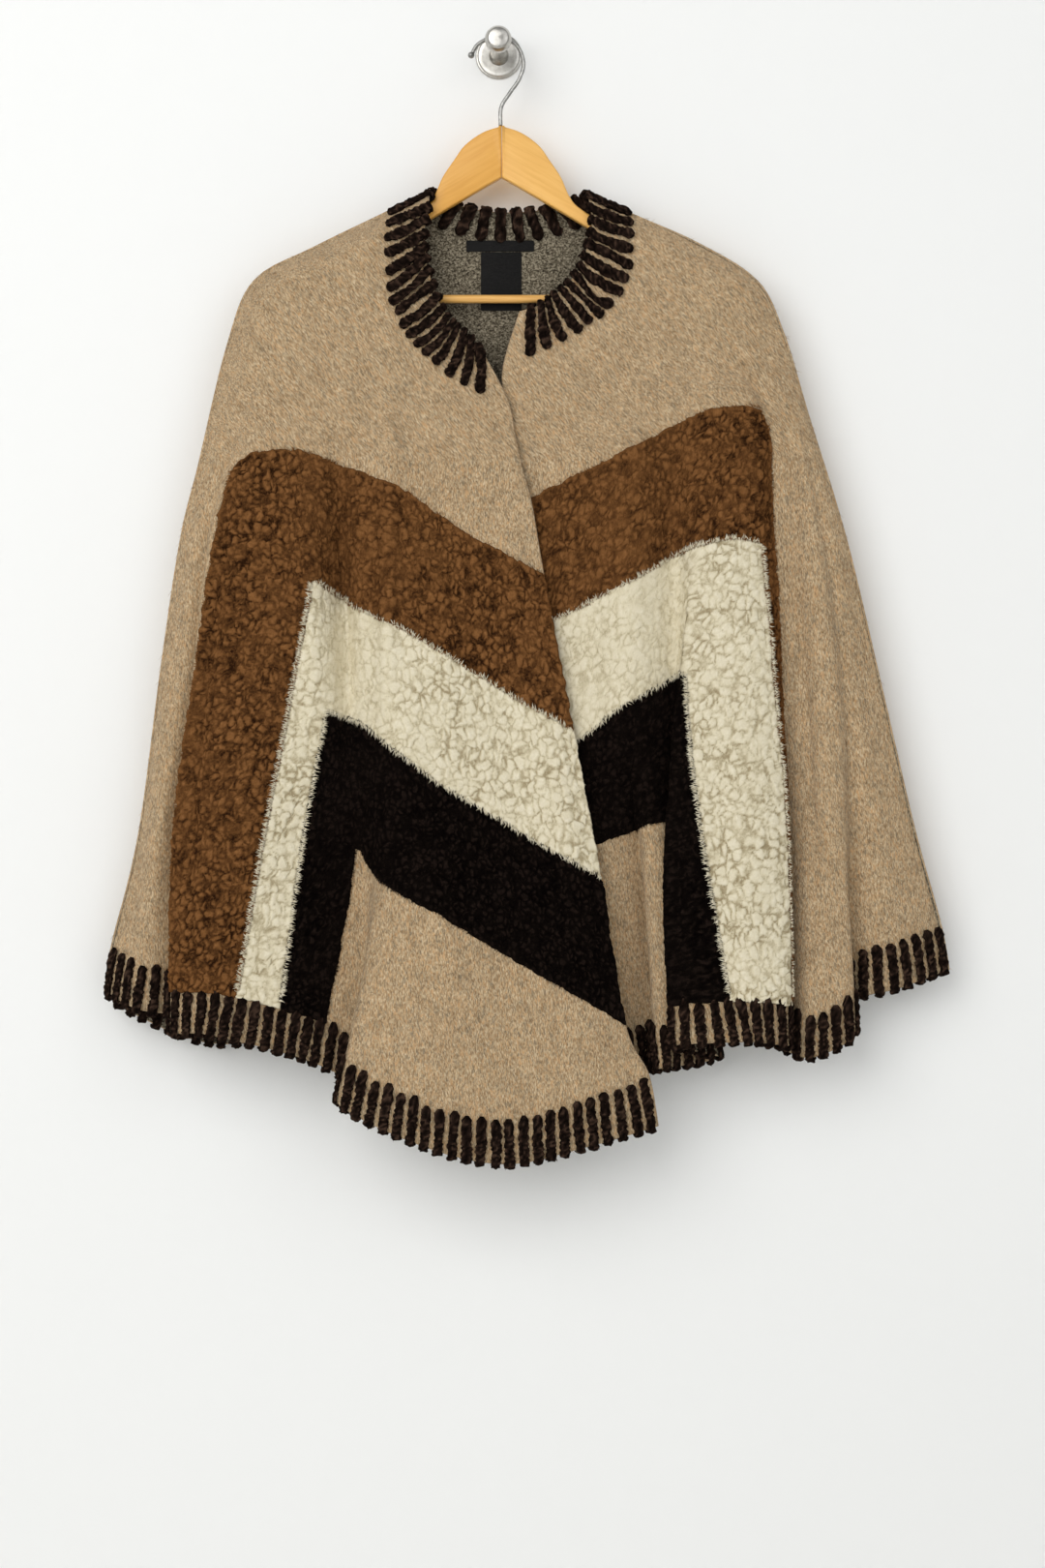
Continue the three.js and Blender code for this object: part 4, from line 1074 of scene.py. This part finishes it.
def hairs_of_pile(panel, name, outer, inner, surface, normals, has, rng):
    """The hairs over a band's borders, and short woolly ones all over it, as two bodies."""
    roots, ways, ups = border_hairs(panel, name, outer, inner, rng)
    lengths = rng.uniform(*BORDER_HAIRS[name]["length"], len(roots))
    widths = rng.uniform(*BORDER_HAIR["width"], len(roots))
    rims, rim_faces, rim_each = spikes(roots, ways, ups, lengths, widths,
                                       droop=BORDER_HAIR["droop"])
    cell = np.repeat(np.repeat(has, COARSE, axis=0), COARSE, axis=1)
    where = np.flatnonzero(np.pad(cell, ((0, 1), (0, 1))).ravel())
    where = rng.permutation(where)[:PILE_HAIRS]
    on, up = surface.reshape(-1, 3)[where], normals.reshape(-1, 3)[where]
    way = unit(up * PILE_HAIR["upright"] + unit(rng.normal(0, 1, (len(where), 3))))
    lengths = rng.uniform(*PILE_HAIR["length"], len(where))
    widths = rng.uniform(*PILE_HAIR["width"], len(where))
    woolly, wool_faces, wool_each = spikes(on - up * PILE_HAIR["sunk"], way, up, lengths, widths,
                                           bent=False)
    rim_tones = np.repeat(rng.uniform(*BORDER_HAIR["tone"], len(roots)), rim_each)
    wool_tones = np.repeat(rng.uniform(*PILE_HAIR["tone"], len(where)), wool_each)
    return (rims, rim_faces, rim_tones), (woolly, wool_faces, wool_tones)


def pile_band(side, name):
    """An L of pile on a front: across between two cross lines as far as its outer fold, and
    down between its two folds to the hem. Its height rises round from the border, the curls
    stand in it, and loose hairs cross its borders."""
    panel, pile = PANELS[side], PILES[name]
    rng = np.random.default_rng(pile["seed"])
    outer, inner = (panel.fold(fold) for fold in PILE_FOLDS[side][name])
    if name == "dark":
        inner += DARK_STOPS_BEFORE[side]
    top, bottom = (LINE[line] for line in pile["lines"])
    u, v = pile_grid(panel, outer, top, bottom)
    bend, turn = np.searchsorted(v, bottom), np.searchsorted(u, inner)
    uu, vv = np.meshgrid(u, v)
    ground, normals = panel.point(uu, vv), panel.normal(uu, vv)
    over, down = arc(ground, 1), arc(ground, 0)
    to_outer = over[:, -1:] - over
    in_across = np.minimum.reduce([down, down[bend] - down, over, to_outer])
    in_upright = np.minimum.reduce([down, down[-1] - down, over - over[:, turn:turn + 1],
                                    to_outer])
    inside = np.maximum(in_across, in_upright)
    ragged = ragged_border(ground, inside, down, to_outer, pile["corner"])
    curl = curl_relief(side, pile, ground)
    rounding = np.clip(inside / ROUNDING, 0, 1)
    rounding = np.sqrt(1 - (1 - rounding) ** 2)
    height = rounding * (pile["height"] - pile["relief"] * (1 - curl)) - PILE_FOOT
    surface = ground + normals * height[..., None] + ragged
    has = np.zeros(((len(v) - 1) // COARSE, (len(u) - 1) // COARSE), bool)
    has[: bend // COARSE] = True
    has[:, turn // COARSE:] = True
    points, faces, used = closed_on_coarse(surface, ground - normals * PILE_FOOT + ragged, has)
    if panel.facing < 0:
        faces = turned_over(faces)
    # The curl relief is kept for the finish as painted shade in the cracks and painted light on the
    # tops, held at a middle level near the band's border
    tone = mix(PILE_RIM_SHADE_LEVEL, curl, np.clip(inside / PILE_RIM, 0, 1))
    tone = np.concatenate([tone.ravel(), np.zeros(has.size + sum(has.shape) + 1)])[used]
    hairs = hairs_of_pile(panel, name, outer, inner, surface, normals, has, rng)
    points, faces, tone = joined((points, faces, tone), *hairs)
    piece = make_piece(f"{name}_pile_{side}", points, faces, pile["finish"],
                       slot=f"{name}_pile")
    keep_values(piece, "curl", tone)
    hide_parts(f"{name}_band_{side}")
    return piece


def closed_on_coarse(top, under, has):
    """A closed body: the fine grid on top, and under it a grid COARSE times coarser, which
    shares the fine border. has says which coarse cells the body covers."""
    rows, columns = top.shape[:2]
    fine = np.arange(rows * columns).reshape(rows, columns)
    cells = np.repeat(np.repeat(has, COARSE, axis=0), COARSE, axis=1)
    quads = grid_faces(rows, columns)[cells.ravel()]
    padded = np.pad(has, 1)
    around = (padded[:-1, :-1].astype(int) + padded[:-1, 1:] + padded[1:, :-1] + padded[1:, 1:])
    low = rows * columns + np.arange(around.size).reshape(around.shape)
    corner = np.where(around == 4, low, fine[::COARSE, ::COARSE])
    under_faces = []
    for j, i in np.argwhere(has):
        face = []
        edges = (
            (padded[j, i + 1], fine[j * COARSE, i * COARSE:(i + 1) * COARSE], corner[j, i]),
            (padded[j + 1, i + 2], fine[j * COARSE:(j + 1) * COARSE, (i + 1) * COARSE],
             corner[j, i + 1]),
            (padded[j + 2, i + 1], fine[(j + 1) * COARSE, (i + 1) * COARSE:i * COARSE:-1],
             corner[j + 1, i + 1]),
            (padded[j + 1, i], fine[(j + 1) * COARSE:j * COARSE:-1, i * COARSE],
             corner[j + 1, i]),
        )
        for joined, border, start in edges:
            face += [int(start)] if joined else [int(k) for k in border]
        under_faces.append(face[::-1])
    points = np.concatenate([top.reshape(-1, 3), under[::COARSE, ::COARSE].reshape(-1, 3)])
    faces = quads.tolist() + under_faces
    used = np.unique(np.concatenate([quads.ravel(), np.concatenate(under_faces)]))
    renumber = np.zeros(len(points), int)
    renumber[used] = np.arange(len(used))
    return points[used], [renumber[face].tolist() for face in faces], used


# Whip-stitch bars


# The steps of a bar's grid, how far it sinks into the cloth, how unevenly bars start, stray,
# sway and swell, how square and blunt they are, their knots, and their hairs
BAR_STEPS = {"outside": 21, "turn": 5, "inside": 9, "around": 12}
BAR_SUNK = 0.4
BAR_STARTS = 0.07
BAR_STRAYS = 0.06
BAR_SWAY = {"size": 11, "far": 0.6}
BAR_UNEVEN = {"size": 6, "share": 0.14}
SQUARED = 0.75
BLUNT_END = 0.4
WIDEST = 0.8
KNOTS = {"size": 4.2, "crack": 0.4, "level": 0.55, "height": 1.7}
# Painted shade between the yarn's knots, rising to painted light on their tops
YARN_KNOT_SHADE = {"darkest": 0.15, "range": 0.6}
BAR_HAIRS = 26
BAR_HAIR = {"stray": 0.8, "length": (1.2, 2.6), "width": (0.6, 1.0), "sunk": 0.5,
            "tone": (0.2, 0.9)}
FINE_POINTS = 1600


def bar_places(panel, root, bars, ends, rng):
    """The u of every bar at its root and at the edge: its own ends, or evenly spaced ones."""
    if ends:
        folds = np.arange(panel.last_u + 1)
        return tuple(np.interp(share, panel.shares, folds) for share in np.array(ends).T)
    fine_u = np.linspace(0, panel.last_u, FINE_POINTS)
    lengths = arc(panel.point(fine_u, np.full_like(fine_u, root)), 0)
    count = round(lengths[-1] / bars["pitch"])
    stray = rng.uniform(-BAR_STRAYS, BAR_STRAYS, count)
    u = np.interp((np.arange(count) + 0.5 + stray) / count * lengths[-1], lengths, fine_u)
    return u, u


def bar_lines(panel, root, edge, bars, u, u_edge, rng):
    """The middle lines of all bars: down the outside, round the edge on a half circle, and
    back up the inside. Gives the cloth's points under the outside, the middle lines, and which
    way is up, sideways and along there."""
    start = mix(root, edge, rng.uniform(0, BAR_STARTS, len(u)))
    share = np.linspace(0, 1, BAR_STEPS["outside"])
    v = mix(start[:, None], edge, share)
    uu = mix(u[:, None], u_edge[:, None], share)
    lift = bars["height"] / 2 - BAR_SUNK
    ground, normals = panel.point(uu, v), panel.normal(uu, v)
    run_way = unit(np.gradient(ground, axis=1))
    side_way = unit(np.cross(run_way, normals)) * np.sign(edge - root) * panel.facing
    angle = np.linspace(0, np.pi, BAR_STEPS["turn"] + 2)[1:-1]
    middle = ground[:, -1:] - normals[:, -1:] * CLOTH / 2
    turn_up = (normals[:, -1:] * np.cos(angle)[None, :, None]
               + run_way[:, -1:] * np.sin(angle)[None, :, None])
    turned = middle + turn_up * (CLOTH / 2 + lift)
    strip = np.linalg.norm(ground[:, -1] - ground[:, 0], axis=-1)
    back_share = np.linspace(0, 1, BAR_STEPS["inside"]) * (bars["wrap"] / strip)[:, None]
    back_v = mix(edge, start[:, None], back_share)
    back_u = mix(u_edge[:, None], u[:, None], back_share)
    back_normals = panel.normal(back_u, back_v)
    back = panel.point(back_u, back_v) - back_normals * (CLOTH + lift)
    centre = np.concatenate([ground + normals * lift, turned, back], axis=1)
    up = np.concatenate([normals, turn_up, -back_normals], axis=1)
    return ground, centre, up, held_on(side_way), run_way


def held_on(values):
    """Values along the outside of every bar, with the last one kept round the edge and on."""
    past_edge = BAR_STEPS["turn"] + BAR_STEPS["inside"]
    return np.concatenate([values, np.repeat(values[:, -1:], past_edge, 1)], axis=1)


def bar_skin(ground, centre, up, sideways, bars, seed):
    """The skin round all bars: rounded oblong rings, blunt at both ends and no wider than the
    bar's neighbours leave room for, with knots of boucle pushed out of them. Gives the skin,
    the rings about their middle lines, and how high the knots stand."""
    count, steps = centre.shape[:2]
    run = arc(centre, 1)
    to_end = np.minimum(run, run[:, -1:] - run)
    blunt = np.clip(to_end / (bars["width"] * BLUNT_END) + 0.1, 0, 1)
    blunt = np.sqrt(1 - (1 - blunt) ** 2)
    seeds = np.stack([run, np.repeat(np.arange(count)[:, None] * 40.0, steps, 1),
                      np.zeros_like(run)], -1)
    sway = soft_noise(seeds, BAR_SWAY["size"], seed) * BAR_SWAY["far"]
    centre = centre + sideways * sway[..., None]
    gaps = np.linalg.norm(np.diff(ground, axis=0), axis=-1)
    gaps = np.minimum(np.concatenate([gaps[:1], gaps]), np.concatenate([gaps, gaps[-1:]]))
    fits = held_on(np.minimum(1, gaps * WIDEST / bars["width"]))
    uneven = 1 + BAR_UNEVEN["share"] * soft_noise(seeds, BAR_UNEVEN["size"], seed + 1)
    width = bars["width"] / 2 * fits * blunt * uneven
    height = bars["height"] / 2 * blunt
    phi = 2 * np.pi * np.arange(BAR_STEPS["around"]) / BAR_STEPS["around"]
    wide = np.sign(np.cos(phi)) * np.abs(np.cos(phi)) ** SQUARED
    tall = np.sign(np.sin(phi)) * np.abs(np.sin(phi)) ** SQUARED
    ring = (sideways[:, :, None] * (width[..., None] * wide)[..., None]
            + up[:, :, None] * (height[..., None] * tall)[..., None])
    skin = centre[:, :, None] + ring
    knots = eased(curls(skin, KNOTS["size"], seed + 2) / KNOTS["crack"])
    pushed = (knots - KNOTS["level"]) * KNOTS["height"] * (blunt * fits)[..., None]
    return skin + unit(ring) * pushed[..., None], ring, knots


def hairs_of_bars(skin, ring, run_way, rng):
    """Short hairs all over the bars, as a body."""
    count, steps, around = skin.shape[:3]
    bar = rng.integers(0, count, count * BAR_HAIRS)
    at, side_at = rng.integers(1, steps - 1, len(bar)), rng.integers(0, around, len(bar))
    on, off = skin[bar, at, side_at], unit(ring[bar, at, side_at])
    way = unit(off + BAR_HAIR["stray"] * unit(rng.normal(0, 1, on.shape)))
    lengths = rng.uniform(*BAR_HAIR["length"], len(bar))
    widths = rng.uniform(*BAR_HAIR["width"], len(bar))
    hairs, faces, each = spikes(on - off * BAR_HAIR["sunk"], way, unit(run_way[bar, 0]), lengths,
                                widths, bent=False)
    return hairs, faces, np.repeat(rng.uniform(*BAR_HAIR["tone"], len(bar)), each)


def stitch_bars(panel, name, node, root, edge, bars, seed, ends=None):
    """Thick yarn sewn over an edge, in bars that run from the root line to the edge and round
    it. The bars are evenly spaced, or have their own ends."""
    rng = np.random.default_rng(seed)
    u, u_edge = bar_places(panel, root, bars, ends, rng)
    ground, centre, up, sideways, run_way = bar_lines(panel, root, edge, bars, u, u_edge, rng)
    skin, ring, knots = bar_skin(ground, centre, up, sideways, bars, seed)
    count, steps, around = skin.shape[:3]
    faces = []
    for bar in range(count):
        faces += closed_rings(steps, around, bar * steps * around)
    if panel.facing * (edge - root) > 0:
        faces = turned_over(faces)
    # The yarn is painted darker between its knots and lighter on them: painted shade and painted
    # light
    tone = YARN_KNOT_SHADE["darkest"] + YARN_KNOT_SHADE["range"] * knots.ravel()
    yarn = (skin.reshape(-1, 3), faces, tone)
    points, faces, tone = joined(yarn, hairs_of_bars(skin, ring, run_way, rng))
    piece = make_piece(name, points, faces, YARN, slot="dark_yarn")
    keep_values(piece, "curl", tone)
    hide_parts(node)
    return piece


# Hanger, labels and wall hook

# The hanger's arm and rail, across from its middle and down, in the picture's own units
HANGER_MIDDLE = 518.6
ARM_TOP = [(0, 131), (20, 138), (38, 151), (49, 166), (61, 184), (70, 204), (82, 217), (119, 238),
           (195, 275), (242, 301), (248, 308)]
ARM_END = [(241, 322), (205, 322), (201, 318), (201, 302)]
ARM_UNDER = [(186, 292), (138, 266), (77, 229), (0, 184)]
ARM_JOINT = 0.15
ARM_ROUNDING = 2.2
ARCS = 5
RAIL_DOWN = 309

# The middle line of the wire, and the labels' edges, across and down
HOOK_WIRE = [(517.4, 130.6), (518, 111), (527, 96), (537, 81), (541, 64), (533, 46), (514, 38),
             (495, 45), (487, 57)]
NECK_LABEL = {"across": (482, 552), "down": (248.5, 260), "out": 25.4}
CARE_LABEL = {"across": (497, 539), "down": (260.6, 321), "out": 25.1}

# Lathe profiles: radius and how far out from the wall
PLATE_PROFILE = [(20.6, 0), (21, 0.5), (21, 1.2), (20.5, 1.8), (19.4, 1.9), (19, 2.1),
                 (18.6, 2.6), (17.8, 2.9), (15, 3), (0.4, 3)]
KNOB_PROFILE = [(9, 3.3), (8.6, 4.3), (7.6, 5.8), (6.6, 8), (6.1, 11), (6, 16), (6, 44),
                (6.5, 46), (8, 48), (9.7, 49.2), (11.1, 51), (11.6, 52.6), (11.7, 54),
                (11.7, 58), (11.5, 59.2), (10.8, 60.6), (9.6, 62.4), (8.9, 63.1), (8, 63.5),
                (4, 63.9), (0.4, 64)]
LATHE_SIDES = 72
WIRE_SIDES = 16
RAIL_SIDES = 24
LABEL_CUT = 0.8
LABEL_ROUNDING = 0.3


def board(name, outline, front, back, rounding, finish, slot, node):
    """A flat board with an outline seen from the front, in millimetres across and up, between
    two distances from the wall. All its edges are rounded over on a quarter circle."""
    ahead = unit(np.roll(outline, -1, 0) - np.roll(outline, 1, 0))
    turned = np.sum(outline[:, 0] * np.roll(outline[:, 1], -1)
                    - outline[:, 1] * np.roll(outline[:, 0], -1))
    if turned < 0:
        outline, ahead = outline[::-1], -ahead[::-1]
    inward = np.stack([-ahead[:, 1], ahead[:, 0]], 1)
    quarter = np.linspace(0, np.pi / 2, ARCS)
    drawn_in = rounding * (1 - np.sin(quarter))
    moved = rounding * (1 - np.cos(quarter))
    outs = np.concatenate([front - moved, back + moved[::-1]])
    rings = [np.insert(outline + inward * d, 1, -out, axis=1)
             for d, out in zip(np.concatenate([drawn_in, drawn_in[::-1]]), outs)]
    faces = closed_rings(len(rings), len(outline))
    piece = make_piece(name, np.concatenate(rings), faces, finish, slot=slot, flip=True)
    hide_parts(node)
    return piece


def hanger_arm(side, name, finish):
    """One half of the hanger: a smooth top, a blunt end with the notch for the rail, and a
    smooth underside."""
    points = np.concatenate([smooth_line(ARM_TOP, ARCS), ARM_END, smooth_line(ARM_UNDER, ARCS)])
    spots = place(HANGER_MIDDLE + side * points[:, 0], points[:, 1], HANGER_OUT)
    outline = spots[:, [0, 2]] + [side * ARM_JOINT, 0]
    half = HANGER_THICKNESS / 2
    return board(f"wooden_{name}", outline, HANGER_OUT + half, HANGER_OUT - half, ARM_ROUNDING,
                 finish, "beech", name)


def label(name, size):
    """A bare woven label inside the back of the neck, its corners softly cut."""
    left, right = size["across"]
    top, bottom = size["down"]
    cut = LABEL_CUT
    corners = [(left + cut, top), (right - cut, top), (right, top + cut), (right, bottom - cut),
               (right - cut, bottom), (left + cut, bottom), (left, bottom - cut),
               (left, top + cut)]
    outline = place(*np.array(corners, float).T, size["out"])[:, [0, 2]]
    half = LABEL_THICKNESS / 2
    return board(f"woven_{name}", outline, size["out"] + half, size["out"] - half,
                 LABEL_ROUNDING, LABEL_WEAVE, "label_weave", name)


def tube(name, path, radii, finish, slot, node, sides):
    """A round rod along a path parallel to the wall: rings square to it, closed at both ends."""
    way = unit(np.gradient(path, axis=0))
    out = np.array([0.0, -1.0, 0.0])
    side = unit(np.cross(way, out))
    phi = 2 * np.pi * np.arange(sides) / sides
    ring = side[:, None] * np.cos(phi)[:, None] + out * np.sin(phi)[:, None]
    points = path[:, None] + ring * radii[:, None, None]
    piece = make_piece(name, points, closed_rings(len(path), sides), finish, slot=slot,
                       flip=True)
    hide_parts(node)
    return piece


def hook_of_wire():
    """The hanger's wire hook: a smooth line of wire that swells to a ball at its tip."""
    across, down = smooth_line(HOOK_WIRE, 10).T
    path = place(across, down, HANGER_OUT)
    along_tip = np.linspace(-1, 0.995, 14)[:, None]
    tip = path[-1] + unit(path[-1] - path[-2]) * WIRE_BALL_RADIUS * along_tip
    clear = np.linalg.norm(path - path[-1], axis=1) > WIRE_BALL_RADIUS * 1.02
    path = np.concatenate([path[clear], tip])
    off = np.linalg.norm(path - tip[-1] + unit(tip[-1] - tip[0]) * WIRE_BALL_RADIUS, axis=1)
    ball = np.sqrt(np.maximum(WIRE_BALL_RADIUS**2 - off**2, 0.01))
    ball[: clear.sum()] = 0
    beyond = np.arange(len(path)) > clear.sum() + 6
    radii = np.where(beyond, ball, np.maximum(ball, WIRE_RADIUS))
    return tube("wire_hook_bent", path, radii, WIRE_STEEL, "steel", "wire_hook", WIRE_SIDES)


def rail():
    """The round wooden bar between the hanger's two arms."""
    ends = place(HANGER_MIDDLE + np.array([-1, 1]) * RAIL_HALF, RAIL_DOWN, HANGER_OUT)
    share = np.r_[0, 0.0015, 0.003, np.linspace(0.02, 0.98, 30), 0.997, 0.9985, 1][:, None]
    radii = np.full(len(share), float(RAIL_RADIUS))
    radii[[0, -1]] -= 1
    radii[[1, -2]] -= 0.3
    return tube("wooden_rail", mix(ends[0], ends[1], share), radii, RAIL_WOOD, "beech",
                "hanger_bar", RAIL_SIDES)


def turned_on_lathe(name, profile, node):
    """A profile of radius and distance from the wall, turned round the hook's axis."""
    radius, out = np.array(profile, float).T
    phi = 2 * np.pi * np.arange(LATHE_SIDES) / LATHE_SIDES
    points = np.stack([radius[:, None] * np.cos(phi), np.repeat(-out[:, None], LATHE_SIDES, 1),
                       radius[:, None] * np.sin(phi)], -1)
    faces = closed_rings(len(profile), LATHE_SIDES)
    piece = make_piece(name, points, faces, TURNED_STEEL, slot="steel")
    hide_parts(node)
    return piece


# Stage, light and camera


STAGE = {"reach": 4, "floor": -1.6, "ceiling": 2.5}
WORLD_LIGHT = 0.35


def stage_plane(name, corners, shade):
    """One flat rectangle that isn't part of the object, and its finish."""
    mesh = bpy.data.meshes.new(name)
    mesh.from_pydata(corners, [], [(0, 1, 2, 3)])
    finish = Finish(name, 0.9)
    finish.shader.inputs["Base Color"].default_value = shade
    mesh.materials.append(finish.material)
    plane = bpy.data.objects.new(name, mesh)
    bpy.context.collection.objects.link(plane)
    return plane, finish


def add_stage():
    """A white wall behind the cape, open to the eye from behind, and a pale floor below."""
    reach, floor, ceiling = STAGE.values()
    wall, finish = stage_plane("wall", [(-reach, 0, floor), (reach, 0, floor),
                                        (reach, 0, ceiling), (-reach, 0, ceiling)],
                               colour(238, 239, 238))
    stage_plane("floor", [(-reach, -reach, floor), (reach, -reach, floor),
                          (reach, reach, floor), (-reach, reach, floor)],
                colour(232, 231, 228))
    clear = finish.node("ShaderNodeBsdfTransparent").outputs[0]
    behind = finish.node("ShaderNodeNewGeometry").outputs["Backfacing"]
    either = finish.node("ShaderNodeMixShader", {0: behind, 1: finish.shader.outputs[0], 2: clear})
    finish.tree.links.new(either.outputs[0], finish.tree.nodes["Material Output"].inputs[0])
    wall.visible_shadow = False


def add_light(name, where, towards, size, energy, shade=(1, 1, 1)):
    """A square soft light that faces a point."""
    data = bpy.data.lights.new(name, "AREA")
    data.size = size
    data.energy = energy
    data.color = shade
    light = bpy.data.objects.new(name, data)
    light.location = where
    aim = Vector(towards) - Vector(where)
    light.rotation_euler = aim.to_track_quat("-Z", "Y").to_euler()
    bpy.context.collection.objects.link(light)


def add_lights():
    """A large key from above on the left, a fill from the right, and a weak one behind."""
    add_light("key", (-1.35, -2.7, 0.5), (0, 0, -0.45), 2.6, 64, (1, 0.995, 0.985))
    add_light("fill", (1.7, -2.8, 0.5), (0, 0, -0.5), 2.6, 24, (0.98, 0.99, 1))
    add_light("behind", (0.6, 3.0, 0.6), (0, 0, -0.5), 2.5, 45)
    world = bpy.data.worlds.new("room")
    world.use_nodes = True
    world.node_tree.nodes["Background"].inputs["Color"].default_value = WHITE
    world.node_tree.nodes["Background"].inputs["Strength"].default_value = WORLD_LIGHT
    bpy.context.scene.world = world
    bpy.context.scene.view_settings.view_transform = "Standard"


def add_camera():
    """The eye is EYE_OUT from the wall, and sees the picture's whole height there."""
    data = bpy.data.cameras.new("camera")
    data.lens = data.sensor_width * EYE_OUT / (PICTURE_DOWN * UNIT)
    camera = bpy.data.objects.new("camera", data)
    camera.location = place(CENTRE_ACROSS, CENTRE_DOWN, EYE_OUT) * MM
    camera.rotation_euler = (np.pi / 2, 0, 0)
    bpy.context.collection.objects.link(camera)
    bpy.context.scene.camera = camera


add_camera()
add_stage()
add_lights()
turned_on_lathe("hook_plate", PLATE_PROFILE, "wall_plate")
turned_on_lathe("hook_knob", KNOB_PROFILE, "wall_knob")
hook_of_wire()
rail()
ARMS = [hanger_arm(-1, "hanger_arm_left", SHADED_LEFT_WOOD),
        hanger_arm(1, "hanger_arm_right", LIT_RIGHT_WOOD)]
label("neck_label", NECK_LABEL)
label("care_label", CARE_LABEL)
for seed, (side, panel) in enumerate(PANELS.items()):
    cloth = cloth_shell(panel)
    trims = [loose_hairs(side, 50 + seed)]
    if side != "back":
        trims += [pile_band(side, name) for name in PILES]
    trims.append(stitch_bars(panel, f"hem_bars_{side}", f"hem_band_{side}", LINE["hem_top"],
                             LINE["hem"], HEM_BARS, 60 + seed))
    neck_bars = BACK_NECK_BARS if side == "back" else NECK_BARS
    trims.append(stitch_bars(panel, f"neck_bars_{side}", f"neck_band_{side}", LINE["neck"],
                             LINE["opening"], neck_bars, 70 + seed, NECK_BAR_ENDS.get(side)))
